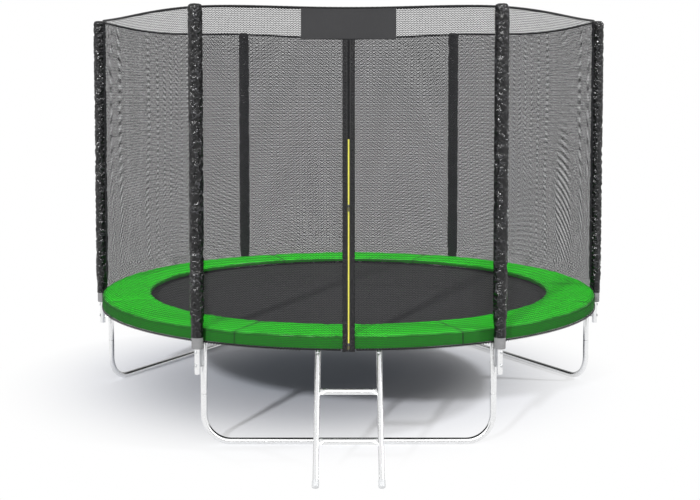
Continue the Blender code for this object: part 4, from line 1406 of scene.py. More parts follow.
@dataclass
class Sleeves:
    """Foam and creased vinyl round each pole.

    Attributes:
        layout: places.
        bore: radius of the foam's bore.
        foam: radius of the foam.
        cuff: radius of the cover's tight foot.
        full: radius of the cover at its fullest.
        crown: radius at which the top turns flat.
        crease: depth of the folds.
        rows: rings of points up a cover.
        columns: points round it.
        foam_foot: height of the foam's foot.
        foam_top: height of its top.
        foot: height of the cover's foot.
        top: height of its top.
    """

    layout: Layout
    bore: float = 0.0163
    foam: float = 0.0305
    cuff: float = 0.0340
    full: float = 0.0402
    crown: float = 0.024
    crease: float = 0.0072
    rows: int = 520
    columns: int = 72
    foam_foot: float = field(init=False)
    foam_top: float = field(init=False)
    foot: float = field(init=False)
    top: float = field(init=False)

    def __post_init__(self) -> None:
        """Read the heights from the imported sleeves."""
        self.foam_foot, self.foam_top = (corner.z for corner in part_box("pole_foam_1"))
        self.foot, self.top = (corner.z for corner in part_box("pole_cover_1"))

    def foam_tube(self) -> Piece:
        """One foam sleeve at the front, its foot a little uneven where it shows.

        Returns:
            The sleeve.
        """
        centre = self.layout.around(0, self.layout.pole_circle, self.foam_foot + 0.03)
        run = Run("foam", centre, UP, self.bore, 40)
        run.profile([(-0.0285, self.bore), (-0.0015, self.bore + 0.001), (0.0, self.foam - 0.003),
                     (0.0009, self.foam - 0.0012), (0.0018, self.foam - 0.0003), (0.0026, self.foam)])
        for _ in range(12):
            run.straight(0.006)
        tube = run.straight(self.foam_top - self.foam_foot - 0.0773).close(angle=50)
        for point in tube.data.vertices:
            away = Vector((point.co.x, point.co.y - centre.y, 0))
            if away.length > self.bore + 0.002 and point.co.z < self.foot + 0.03:
                point.co += away.normalized() * noise.noise(point.co * 38) * 0.0006
        return tube

    def profile(self, height: float) -> float:
        """Radius of a cover, before its folds, at a height.

        Args:
            height: above the ground.

        Returns:
            The radius.
        """
        radius = self.cuff + (self.full - self.cuff) * ease((height - self.foot - 0.045) / 0.085)
        rise = (height - self.top) / 0.028 + 1
        if rise > 0:
            radius = self.crown + (radius - self.crown) * math.sqrt(max(0.0, 1 - rise ** 2.6))
        return radius

    def fold(self, at: Vector, seed: float) -> float:
        """Height of the crumpled vinyl, 0 in a hollow and 1 on a crease.

        Args:
            at: place in folds.
            seed: shifts the pattern.

        Returns:
            The height.
        """
        total = 0.0
        for size, weight in ((1.0, 0.78), (0.45, 0.22)):
            value = noise.noise(at / size + Vector((seed, -seed, seed * 1.7)))
            total += weight * max(0.0, 1 - abs(value) * 2.4)
        return total

    def wrap(self, way: Vector, turn: float, height: float, number: int) -> float:
        """Radius of a cover's creased vinyl.

        Args:
            way: level direction from the pole.
            turn: the same as an angle.
            height: above the ground.
            number: of the pole.

        Returns:
            The radius.
        """
        radius = self.profile(height)
        at = way * radius * 32 + UP * height * 27
        at += noise.noise_vector(at * 0.8) * 0.7
        slow = noise.noise(at * 0.33 + Vector((0, 0, 9 * number)))
        calm = ease((height - self.foot) / 0.09) * 0.75 + 0.25
        radius -= self.crease * calm * (1 - self.fold(at, 7.3 * number)) + 0.0006 * calm * (1 - slow)
        radius += 0.0008 * (1 - calm) * math.sin(turn * 13 + number)
        return max(radius, self.foam + 0.0015) if height < self.foam_top + 0.004 else radius

    def cover(self, number: int, angle: float) -> Piece:
        """One creased cover, turned in at its foot and gathered to a point at its top.

        Args:
            number: of the pole.
            angle: where it stands.

        Returns:
            The piece.
        """
        centre = self.layout.around(angle, self.layout.pole_circle, 0)
        hem = [(self.foot + 0.010, 0.0008), (self.foot + 0.0006, 0.0004)]
        rings = hem + [(self.foot + (self.top - self.foot) * (row / self.rows), 0.0)
                       for row in range(self.rows + 1)]
        turns = [math.tau * column / self.columns for column in range(self.columns)]
        points = []
        for height, tuck in rings:
            for turn in turns:
                way = Vector((math.cos(turn), math.sin(turn), 0))
                points.append(centre + way * (self.wrap(way, turn, height, number) - tuck) + UP * height)
        for share in (0.75, 0.5, 0.25):
            for turn in turns:
                way = Vector((math.cos(turn), math.sin(turn), 0))
                pucker = 0.0012 * math.sin(turn * 9 + number * 2) * (1 - share)
                height = self.top - 0.0035 * (1 - share) ** 2 + pucker
                points.append(centre + way * self.crown * 0.93 * share + UP * height)
        faces = grid(len(points) // self.columns, self.columns, closed=True)
        last = len(points)
        points.append(centre + UP * (self.top - 0.004))
        faces += [(index, last - self.columns + (index + 1) % self.columns, last)
                  for index in range(last - self.columns, last)]
        return Bench.cloth(f"cover_{number}", points, faces)

    def build(self) -> None:
        """Make the foam and the covers of all six poles."""
        for piece in repeat(self.foam_tube(), self.layout, SLEEVE_FOAM, FRAME, "foam", POLE_ANGLES,
                            "pole_foam"):
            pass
        for number, angle in enumerate(POLE_ANGLES, 1):
            piece = stand(self.cover(number, angle), SLEEVE_VINYL, FRAME, f"pole_cover_{number}")


# ---- Mat, springs and pad ----

@dataclass
class JumpMat:
    """Woven mat with its webbing edge, stitch rows and triangular rings.

    Attributes:
        layout: places.
        webbing: width of the edge band.
        band: its thickness.
        cloth: thickness of the woven sheet.
        turned: width of the band past the woven sheet.
        slack: how far the middle hangs down.
        seams: distances of the stitch rows from the mat's edge.
        count: of the rings.
        first: angle of the first ring.
        side: of a ring's triangle.
        corner: radius of its corners.
        wire: radius of its wire.
    """

    layout: Layout
    webbing: float = 0.050
    band: float = 0.0046
    cloth: float = 0.0015
    turned: float = 0.012
    slack: float = 0.0012
    seams: tuple[float, ...] = (0.004, 0.017, 0.033, 0.046)
    count: int = 48
    first: float = 3.75
    side: float = 0.016
    corner: float = 0.004
    wire: float = 0.0018

    def sheet(self) -> Piece:
        """The woven disc, a little slack in its middle.

        Returns:
            The disc.
        """
        place = self.layout
        columns, rings = 144, 36
        reach = place.mat_radius - self.turned
        points = []
        for ring in range(1, rings + 1):
            share = ring / rings
            for column in range(columns):
                point = place.around(360 * column / columns, reach * share, place.ring_height)
                lift = 0.0009 * noise.noise(point * 3.1) * (1 - share)
                point.z += lift - self.slack * (1 - share ** 2)
                points.append(point)
        faces = grid(rings, columns, closed=True)
        faces += [((column + 1) % columns, column, len(points)) for column in range(columns)]
        points.append(Vector((0, place.axis_y, place.ring_height - self.slack)))
        uvs = [(point.x, point.y) for point in points]
        piece = Bench.cloth("mat_weave", points, faces, uvs)
        return Bench.modify(piece, "SOLIDIFY", thickness=self.cloth, offset=0)

    def edge(self) -> Piece:
        """Webbing band round the mat.

        Returns:
            The band.
        """
        place = self.layout
        reach = place.mat_radius - self.webbing / 2
        run = Run("mat_webbing", place.around(0, reach, place.ring_height), sideways(0),
                  bar=(self.webbing, self.band), capped=False)
        band = run.bend(-outward(0), reach, 360, 192).close(capped=False)
        Bench.cut(Bench.bevel(band, 0.0009, limit=60), self.unroll)
        return band

    def unroll(self, corner: Vector, centre: Vector) -> tuple[float, float]:
        """Flat place of a band's corner, on the same side of the join as its face.

        Args:
            corner: of the face.
            centre: of the face.

        Returns:
            Lengths along the ring and up or in.
        """
        turns = [math.atan2(point.x, self.layout.axis_y - point.y) for point in (corner, centre)]
        if abs(turns[0] - turns[1]) > math.pi:
            turns[0] += math.copysign(math.tau, turns[1])
        return turns[0] * self.layout.mat_radius, corner.z - self.layout.away(corner).length

    def stitching(self) -> Piece:
        """Rows of thread sunk in both faces of the webbing.

        Returns:
            The thread.
        """
        place = self.layout
        rows = [Bench.primitive("row", "torus", major_radius=place.mat_radius - inset, minor_radius=0.0005,
                                major_segments=192, minor_segments=5,
                                location=(0, place.axis_y, place.ring_height + side * self.band / 2))
                for inset in self.seams for side in (-1, 1)]
        return Bench.settle(Bench.join("mat_stitching", *rows), 60)

    def triangle(self) -> Piece:
        """One wire ring at the front, sewn half into the webbing.

        Returns:
            The ring.
        """
        place = self.layout
        at = place.around(0, place.mat_radius - 0.004, place.ring_height) - RIGHT * self.side / 2
        run = Run("ring", at, RIGHT, self.wire, 8, capped=False)
        for _ in range(3):
            run.straight(self.side).bend(run.heading.cross(UP), self.corner, 120, 4)
        return run.close(capped=False, angle=60)

    def build(self) -> None:
        """Make the mat and its rings."""
        sheet = stand(self.sheet(), JUMP_WEAVE, MAT, "mat")
        sewn = [stand(self.edge(), WEBBING, MAT), stand(self.stitching(), THREAD, MAT)]
        angles = [self.first + 360 / self.count * index for index in range(self.count)]
        repeat(self.triangle(), self.layout, ZINC, MAT, "mat_ring", angles)


@dataclass
class Springs:
    """Coil springs from the rings on the mat to the rails.

    Attributes:
        layout: places.
        coil: mean radius of the coil.
        wire: radius of the wire.
        start: from the mat's edge to the coil.
        length: of the coil.
        turns: in it.
        bend: radius where the wire turns from the coil into a hook.
        hook: radius of the open hook.
        count: of the springs.
        first: angle of the first spring.
    """

    layout: Layout
    coil: float = 0.0103
    wire: float = 0.0015
    start: float = 0.030
    length: float = 0.138
    turns: int = 40
    bend: float = 0.0045
    hook: float = 0.0042
    count: int = 48
    first: float = 3.75

    def end(self, way: Vector, reach: float, hooked: bool) -> Piece:
        """End of the wire that crosses to the middle and runs on.

        Args:
            way: direction in which it runs on.
            reach: length of the straight part.
            hooked: whether it ends in an open hook.

        Returns:
            The piece.
        """
        run = Run("end", RIGHT * self.coil, -RIGHT, self.wire * 1.05, 7)
        run.straight(self.coil - self.bend).bend(way, self.bend, 90, 4).straight(reach)
        if hooked:
            run.bend(-UP, self.hook, 200, 8).straight(0.003)
        return run.close(angle=60)

    def spring(self) -> Piece:
        """One spring at the front: the coil, wound by a screw, and its two ends.

        Returns:
            The spring.
        """
        place = self.layout
        inner = place.mat_radius + self.start
        outer = inner + self.length
        coil = Bench.primitive("coil", "circle", vertices=5, radius=self.wire, location=(self.coil, 0, 0))
        Bench.modify(coil, "SCREW", axis="Y", angle=math.tau, iterations=self.turns, steps=12,
                     render_steps=12, screw_offset=-self.length / self.turns, use_smooth_shade=True)
        ends = [self.end(-FRONT, self.start - 0.0075, True),
                self.end(FRONT, place.ring_radius - 0.0150 - outer, False)]
        for piece, radius in ((coil, inner), (ends[0], inner), (ends[1], outer)):
            piece.data.transform(Matrix.Translation(place.around(0, radius, place.ring_height)))
        piece = Bench.face_out(Bench.join("spring", coil, *ends))
        bpy.ops.object.shade_smooth()
        return piece

    def build(self) -> None:
        """Make every spring between the rails and the mat."""
        place = self.layout
        pattern = self.spring()
        for index in range(self.count):
            angle = self.first + 360 / self.count * index
            piece = Bench.copy(pattern, f"spring_{index + 1}", place.turn(angle))
            SPRING.put_on(piece)
            place.around(angle, place.ring_radius - 0.0175, place.ring_height)
            place.around(angle, place.mat_radius + 0.004, place.ring_height)
            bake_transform(piece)
            if index == 0:
                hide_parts("springs")
        log.info("springs: %d, %d faces each", self.count, len(pattern.data.polygons))
        Bench.remove(pattern)


@dataclass
class SpringPad:
    """Padded ring over the springs with its skirt.

    Attributes:
        layout: places.
        panels: sewn round the ring.
        columns: of points in each panel.
        across: steps over the pad's width.
        first: angle of the first radial seam.
        cap: how far the filling may push the cloth.
        edge: rounding of the top's outer rim.
        sag: how far the inner edge hangs toward the mat.
        tuck: how far the radial seams draw the top in.
        inner: radius of the pad's inner edge.
        outer: radius of the skirt's outside.
        low: height of the pad's underside.
        top: height of its top.
        foot: height of the skirt's foot.
    """

    layout: Layout
    panels: int = 8
    columns: int = 64
    across: int = 20
    first: float = 22.5
    cap: float = 0.006
    edge: float = 0.012
    sag: float = 0.0048
    tuck: float = 0.0042
    inner: float = field(init=False)
    outer: float = field(init=False)
    low: float = field(init=False)
    top: float = field(init=False)
    foot: float = field(init=False)

    def __post_init__(self) -> None:
        """Read the pad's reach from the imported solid."""
        low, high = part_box("spring_pad")
        self.outer = (high.x - low.x) / 2
        self.inner = self.layout.ring_radius - 0.280
        self.top, self.foot = high.z, low.z
        self.low = self.top - 0.030

    def section(self) -> list[tuple[float, float, bool]]:
        """Closed outline of the pad.

        Returns:
            Radius, height and whether a seam holds it, of each point.
        """
        inner, outer, rim, top = self.inner, self.outer - 0.0022, self.edge, self.top - 0.0022
        shares = [step / self.across for step in range(self.across + 1)]
        outline = [(inner + 0.004 + (outer - rim - inner - 0.004) * share, top, False) for share in shares]
        for turn in (72, 56, 40, 26, 12):
            sine, cosine = math.sin(math.radians(turn)), math.cos(math.radians(turn))
            outline.append((outer - rim * (1 - cosine), top - rim * (1 - sine), turn == 26))
        outline += [(outer, top - 0.0140, False), (outer, self.low + 0.009, False),
                    (outer - 0.001, self.low + 0.002, True)]
        for share in shares:
            sag = self.sag * ease((share - 0.74) / 0.26)
            outline.append((outer - 0.006 - (outer - inner - 0.010) * share, self.low + 0.0006 - sag, False))
        return outline + [(inner + 0.0008, self.low + 0.004 - self.sag, True),
                          (inner, self.low + 0.013, False), (inner + 0.001, self.top - 0.006, True)]

    def from_seam(self, angle: float) -> float:
        """Degrees from an angle to the nearest radial seam."""
        step = 360 / self.panels
        return abs((angle - self.first + step / 2) % step - step / 2)

    def wrinkle(self, angle: float, radius: float) -> float:
        """Height of the cloth's shallow folds at a place on the top.

        Args:
            angle: from the front.
            radius: from the axis.

        Returns:
            The height.
        """
        at = self.layout.around(angle, radius, 0)
        folds = ridges(Vector((angle * 0.11, radius * 6.0, 0)), 3.1, 2)
        gather = math.exp(-self.from_seam(angle) / 3.0) * math.sin(radius * 95 + 5 * noise.noise(at * 9))
        return 0.0018 * noise.noise(at * 3.3) + 0.0034 * (folds - 0.45) + 0.0013 * gather

    def shell(self) -> Piece:
        """The pad's cloth before it is filled, with its held points in a group.

        Returns:
            The cloth.
        """
        outline = self.section()
        total = self.panels * self.columns
        points, uvs, held = [], [], []
        for column in range(total):
            angle = self.first + 360 * column / total
            length, before = 0.0, outline[0]
            for index, (radius, height, seam) in enumerate(outline):
                length += math.hypot(radius - before[0], height - before[1])
                before = (radius, height)
                if seam or column % self.columns == 0:
                    held.append(len(points))
                lift = self.wrinkle(angle, radius) if index <= self.across else 0.0
                points.append(self.layout.around(angle, radius, height + lift))
                uvs.append((math.radians(angle) * self.outer, length))
        faces = grid(total, len(outline), closed=True, tube=True)
        piece = Bench.cloth("pad", points, faces, uvs, math.tau * self.outer)
        piece.vertex_groups.new(name="held").add(held, 1.0, "REPLACE")
        return Bench.face_out(piece)

    def fill(self, piece: Piece) -> None:
        """Blow the cloth up against its seams and keep each point within reach.

        Args:
            piece: the pad's cloth.
        """
        before = [point.co.copy() for point in piece.data.vertices]
        Bench.take(piece)
        modifier = piece.modifiers.new("Cloth", "CLOTH")
        cloth, scene = modifier.settings, bpy.context.scene
        for name, value in {"quality": 4, "mass": 0.25, "tension_stiffness": 18,
                            "compression_stiffness": 18, "bending_stiffness": 0.6, "use_pressure": True,
                            "uniform_pressure_force": 4.0, "shrink_min": -0.012,
                            "vertex_group_mass": "held"}.items():
            setattr(cloth, name, value)
        cloth.effector_weights.gravity = 0.0
        modifier.collision_settings.use_collision = False
        for step in range(1, 16):
            scene.frame_set(step)
        bpy.ops.object.modifier_apply(modifier=modifier.name)
        scene.frame_set(1)
        for point, old in zip(piece.data.vertices, before):
            move = point.co - old
            if move.length > self.cap:
                move *= self.cap / move.length
            point.co = old + move
            if old.z < self.low + 0.005:
                point.co.z = max(point.co.z, old.z)
            away = self.layout.away(point.co)
            if away.length > self.outer:
                point.co -= away.normalized() * (away.length - self.outer)

    def seams(self, piece: Piece) -> None:
        """Draw the cloth in along every radial seam.

        Args:
            piece: the pad.
        """
        for point in piece.data.vertices:
            away = self.layout.away(point.co)
            share = math.exp(-(self.from_seam(math.degrees(math.atan2(away.x, -away.y))) / 0.42) ** 2)
            if share > 0.02:
                if point.co.z > (self.top + self.low) / 2:
                    point.co.z -= self.tuck * share
                if away.length > self.outer - 0.004:
                    point.co -= away.normalized() * 0.0016 * share

    def skirt(self) -> Piece:
        """Band of the same cloth that hangs outside the rails.

        Returns:
            The skirt.
        """
        total, rows = 540, 8
        high = self.low + 0.012
        points, uvs = [], []
        for column in range(total):
            angle = 360 * column / total
            for row in range(rows + 1):
                share = row / rows
                height = high + (self.foot - high) * share
                at = self.layout.around(angle, self.outer, height)
                wave = 0.0006 * share * noise.noise(at * 13 + RIGHT * 2)
                points.append(self.layout.around(angle, self.outer - 0.0002 + wave * 0.4,
                                                 height + 2 * share * wave))
                uvs.append((math.radians(angle) * self.outer, share * (high - self.foot) + 0.4))
        piece = Bench.cloth("pad_skirt", points, grid(total, rows + 1, tube=True), uvs,
                            math.tau * self.outer)
        return Bench.modify(piece, "SOLIDIFY", thickness=0.0009, offset=-1)

    def build(self) -> None:
        """Make the pad and its skirt."""
        piece = self.shell()
        self.fill(piece)
        self.seams(piece)
        Bench.modify(piece, "SUBSURF", levels=1, render_levels=1)
        stand(piece, PAD_VINYL, FRAME, "spring_pad")
        piece.data.materials.append(PAD_BACK.material())
        for face in piece.data.polygons:
            face.material_index = int(face.normal.z < -0.6)
        skirt = stand(self.skirt(), PAD_VINYL, FRAME)


# ---- Net, door and banner ----

@dataclass(frozen=True)
class NetShape:
    """Where the net hangs: round its ring, out at the hem, leaning in the door.

    Attributes:
        layout: places.
        plain: radius of the net away from the door.
        turn_low: height where it begins to turn out over the ring.
        turn_high: height where it has come in to its plain radius.
        top_plain: radius of the cord between poles.
        lean: how far the door leans in for each metre up.
        door_half: half the door's slot.
        door_top: height where the slot ends.
        dip: how much lower the top hangs between poles.
        drawn: how far the net is drawn out toward each pole.
        tied: degrees from a pole within which the top is drawn to it.
    """

    layout: Layout
    plain: float
    turn_low: float
    turn_high: float
    top_plain: float
    lean: float
    door_half: float
    door_top: float
    dip: float = 0.022
    drawn: float = 0.026
    tied: float = 7.5

    @classmethod
    def read(cls, layout: Layout) -> "NetShape":
        """Take the door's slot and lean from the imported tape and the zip's joint.

        Args:
            layout: places.

        Returns:
            The shape.
        """
        tape_low, tape_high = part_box("door_tape")
        axis = joint("zip_slide_upper")["axis"]
        return cls(layout=layout, plain=layout.hem_radius - 0.041, turn_low=layout.ring_height + 0.0375,
                   turn_high=layout.ring_height + 0.110, top_plain=layout.pole_circle - 0.0408,
                   lean=abs(axis[1] / axis[2]), door_half=(tape_high.x - tape_low.x) / 2 + 0.0003,
                   door_top=tape_high.z)

    def top(self, angle: float) -> float:
        """Height of the net's top edge at an angle: highest at the poles."""
        return self.layout.net_top - self.dip * (1 + math.cos(math.radians(6 * angle))) / 2

    def from_pole(self, angle: float) -> float:
        """Degrees from an angle to the nearest pole."""
        return abs(angle % SECTOR - SECTOR / 2)

    def door_distance(self, height: float) -> float:
        """Distance of the door's leaning plane from the axis."""
        return self.layout.hem_radius + (self.turn_low - height) * self.lean

    def radius(self, angle: float, height: float) -> float:
        """Radius of the net's inner face.

        Args:
            angle: from the front.
            height: above the ground.

        Returns:
            The radius.
        """
        rise = (height - self.turn_low) / (self.turn_high - self.turn_low)
        plain = self.layout.hem_radius + (self.plain - self.layout.hem_radius) * ease(rise)
        door = self.door_distance(min(height, self.door_top))
        from_door = ease((abs((angle + 180) % 360 - 180) - self.tied) / 22.5)
        radius = plain + (door - plain) * (1 - from_door)
        beside = self.from_pole(angle)
        share = (1 + math.cos(math.radians(6 * beside))) / 2 * from_door
        radius += self.drawn * share * ease((height - self.turn_high + 0.03) / 0.08)
        pull = max(0.0, 1 - beside / self.tied) ** 1.5 * ease((height - self.top(angle)) / 0.22 + 1)
        return radius + (self.top_plain - radius) * pull if radius < self.top_plain else radius

    def point(self, angle: float, height: float, out: float = 0.0) -> Vector:
        """Point on the net, or off it toward the outside."""
        return self.layout.around(angle, self.radius(angle, height) + out, height)


@dataclass
class SafetyNet:
    """Knitted net with its hem, its top cord and the ties to the poles.

    Attributes:
        net: where it hangs.
        girth: radius at which the net's cut is measured.
        step: degrees between columns.
        rows: up the net.
        hem: height of the bound edge at the bottom.
        binding: height of the bound edge at the top.
        cord: radius of the cord in the top edge.
        loops: of the knit under the hem.
        ladder_gap: degrees beside the front without loops.
        tie: width and thickness of the ties.
    """

    net: NetShape
    girth: float = 1.545
    step: float = 1.25
    rows: int = 44
    hem: float = 0.0085
    binding: float = 0.008
    cord: float = 0.003
    loops: int = 560
    ladder_gap: float = 9.0
    tie: tuple[float, float] = (0.014, 0.0016)

    def panel(self) -> Piece:
        """The net itself, one layer, open at the door's slot.

        Returns:
            The net.
        """
        net, columns = self.net, int(360 / self.step)
        feet = [net.layout.net_hem + 0.004, net.turn_low, net.turn_low + 0.02, net.turn_low + 0.04,
                net.turn_high]
        points, uvs = [], []
        for row in range(self.rows):
            share = (row - len(feet) + 1) / (self.rows - len(feet))
            for column in range(columns + 1):
                angle = turn = column * self.step
                height = feet[row] if share <= 0 else net.turn_high + (net.top(angle) - net.turn_high) * share
                out = 0.0
                if column in (0, columns) and height < net.door_top - 0.01:
                    edge = math.degrees(net.door_half / net.radius(0, height))
                    turn = edge if column == 0 else 360 - edge
                elif height > net.turn_high:
                    out = 0.0018 * noise.noise(net.layout.around(angle, 2.2, height * 1.3)) - 0.0006
                points.append(net.point(turn, height, out))
                uvs.append((math.radians(turn) * self.girth, height))
        piece = Bench.cloth("net", points, grid(self.rows, columns + 1), uvs)
        with Bench.editing(piece, "VERT", lambda point: abs(point.co.x) < 1e-6 and point.co.y < 0):
            bpy.ops.mesh.remove_doubles(threshold=0.0001)
        return piece

    def band(self, name: str, low: Callable[[float], float], high: Callable[[float], float],
             thick: float, door: float = 0.0) -> Piece:
        """Folded webbing that binds an edge of the net.

        Args:
            name: of the piece.
            low: height of its lower edge at an angle.
            high: height of its upper edge at an angle.
            thick: its thickness.
            door: degrees beside the front that it leaves open, 0 for a closed ring.

        Returns:
            The piece.
        """
        count = int(round((360 - 2 * door) / 0.75))
        shape = [(-0.15, 0.5), (0.0, 0.15), (0.5, 0.0), (0.85, 0.12), (1.0, 0.5), (0.85, 0.88),
                 (0.5, 1.0), (0.0, 0.85)]
        rows = count + 1 if door else count
        points, uvs = [], []
        for row in range(rows):
            angle = door + (360 - 2 * door) * row / count
            below, above = low(angle), high(angle)
            for out, up in shape:
                height = below + (above - below) * up
                pucker = 0.0003 * math.sin(angle * 31) * (0.5 - abs(up - 0.5))
                points.append(self.net.point(angle, height, out * thick + pucker))
                uvs.append((math.radians(angle) * self.girth, height + out * thick))
        faces = grid(rows, len(shape), closed=True, tube=not door)
        if door:
            last = len(points) - len(shape)
            faces += [tuple(range(len(shape))), tuple(range(len(points) - 1, last - 1, -1))]
        period = None if door else math.tau * self.girth
        return Bench.face_out(Bench.cloth(name, points, faces, uvs, period))

    def scallops(self) -> Piece:
        """Loops of the knit that hang under the hem, away from the ladder.

        Returns:
            The loops.
        """
        low = self.net.layout.net_hem + 0.0015
        step = (360 - 2 * self.ladder_gap) / self.loops
        outline = ((0.20, 0.0), (0.27, 0.0038), (0.5, 0.0058), (0.73, 0.0038), (0.80, 0.0))
        points, faces = [], []
        for index in range(self.loops):
            start, first = self.ladder_gap + index * step, len(points)
            points += [self.net.point(start + step * share, low - drop, out)
                       for out in (0.0012, 0.0024) for share, drop in outline]
            faces += [tuple(range(first, first + 5)), tuple(range(first + 9, first + 4, -1))]
            faces += grid(2, 5, closed=True, first=first)
        return Bench.face_out(Bench.cloth("net_scallops", points, faces))

    def top_cord(self) -> Piece:
        """Cord that runs on the top edge, twisted of three strands.

        Returns:
            The cord.
        """
        net, count, sides = self.net, 720, 9
        points = []
        for column in range(count):
            angle = 360 * column / count
            middle_out = 0.0005 - 0.0020 * max(0.0, 1 - net.from_pole(angle) / net.tied)
            for side in range(sides):
                turn = math.tau * side / sides
                strand = self.cord * (0.90 + 0.10 * math.cos(3 * turn + angle * 6))
                height = net.top(angle) + self.cord + strand * math.sin(turn)
                out = middle_out + strand * math.cos(turn)
                points.append(net.point(angle, height) + outward(angle) * out)
        return Bench.face_out(Bench.cloth("net_cord", points, grid(count, sides, closed=True, tube=True)))

    def pole_tie(self) -> Piece:
        """One flat tie at the front that holds the net's top to a pole.

        Returns:
            The tie.
        """
        net, angle = self.net, SECTOR / 2
        inside = net.radius(angle, net.top(angle)) - 0.003
        at = net.layout.around(0, inside, net.top(angle) - 0.010) - RIGHT * 0.009
        run = Run("tie", at, RIGHT, bar=self.tie)
        return Bench.bevel(run.straight(0.004).straight(0.010).straight(0.004).close(), 0.0005)

    def build(self) -> None:
        """Make the net, its bound edges and its cord."""
        net, hem = self.net, self.net.layout.net_hem
        panel = stand(self.panel(), NET_CORD, FRAME, "safety_net")
        door = math.degrees(net.door_half / net.layout.hem_radius) + 0.25
        bands = [self.band("net_hem", lambda angle: hem + 0.0005, lambda angle: hem + self.hem, 0.0024, door),
                 self.band("net_binding", lambda angle: net.top(angle) - self.binding,
                           lambda angle: net.top(angle) + 0.0005, 0.0020)]
        sewn = [stand(band, WEBBING, FRAME) for band in bands]
        sewn.append(stand(self.scallops(), THREAD_DARK, FRAME))
        stand(self.top_cord(), CORD, FRAME, "net_top_cord")
        repeat(self.pole_tie(), net.layout, WEBBING_PLAIN, FRAME, "net_tie", POLE_ANGLES)


@dataclass
class Banner:
    """Plain dark cloth panel over the door, with a hem all round.

    Attributes:
        net: where the net hangs.
        girth: radius at which its cut is measured.
        hem: width of its hem.
        thick: of the cloth.
        stitch: from one stitch to the next.
        half: half its width.
        low: height of its lower edge.
        reach: angle of its side.
    """

    net: NetShape
    girth: float = 1.52
    hem: float = 0.011
    thick: float = 0.0007
    stitch: float = 0.0042
    half: float = field(init=False)
    low: float = field(init=False)
    reach: float = field(init=False)

    def __post_init__(self) -> None:
        """Read the panel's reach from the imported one."""
        low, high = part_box("banner")
        self.half = (high.x - low.x) / 2 - 0.0002
        self.low = low.z + 0.0005
        self.reach = math.degrees(math.asin(self.half / self.net.radius(0, self.low)))

    def top(self, angle: float) -> float:
        """Height of its upper edge."""
        return self.net.top(angle) - 0.004

    def cloth(self) -> Piece:
        """The panel, thicker in its hem and a little slack.

        Returns:
            The panel.
        """
        columns, rows = 64, 28
        points, uvs = [], []
        for row in range(rows + 1):
            for column in range(columns + 1):
                angle = self.reach * (2 * column / columns - 1)
                top = self.top(angle)
                height = self.low + (top - self.low) * row / rows
                away = min((1 - abs(angle) / self.reach) * self.half, height - self.low, top - height)
                out = 0.00185 + (0.00025 if away < self.hem else 0.0)
                out += 0.0006 * noise.noise(Vector((angle * 0.35, height * 9, 3.1))) * ease(away / 0.03)
                out += 0.00025 * math.sin(angle * 11 + height * 300) * ease(1 - away / 0.02)
                points.append(self.net.point(angle, height, max(0.0013, min(0.0030, out))))
                uvs.append((math.radians(angle) * self.girth, height))
        piece = Bench.cloth("banner_cloth", points, grid(rows + 1, columns + 1), uvs)
        return Bench.modify(piece, "SOLIDIFY", thickness=self.thick, offset=0)

    def threads(self) -> Piece:
        """Two rows of short stitches along the hem.

        Returns:
            The stitches.
        """
        places = []
        for inward in (1.0, 0.25):
            inset = self.hem * inward
            side, low = self.reach - math.degrees(inset / self.girth), self.low + inset
            count = int(2 * self.half / self.stitch)
            for index in range(count):
                angle = side * (2 * (index + 0.5) / count - 1)
                places += [(angle, height, True) for height in (low, self.top(angle) - inset)]
            for index in range(int((self.top(side) - inset - low) / self.stitch)):
                places += [(sign * side, low + self.stitch * (index + 0.5), False) for sign in (-1, 1)]
        points, faces = [], []
        for angle, height, level in places:
            first = len(points)
            wide, tall = (0.0012, 0.0003) if level else (0.0003, 0.0012)
            turn = math.degrees(wide / self.girth)
            points += [self.net.point(angle + across * turn, height + up * tall, out)
                       for out in (0.0021, 0.0027)
                       for across, up in ((-1, -1), (1, -1), (1, 1), (-1, 1))]
            faces += [tuple(range(first + 4, first + 8)), tuple(range(first + 3, first - 1, -1))]
            faces += grid(2, 4, closed=True, first=first)
        return Bench.cloth("banner_stitches", points, faces)

    def build(self) -> None:
        """Make the panel and the thread in its hem."""
        piece = stand(self.cloth(), BANNER_CLOTH, FRAME, "banner")
        thread = stand(self.threads(), THREAD_DARK, FRAME)
        self.top(0) - self.low + 0.010


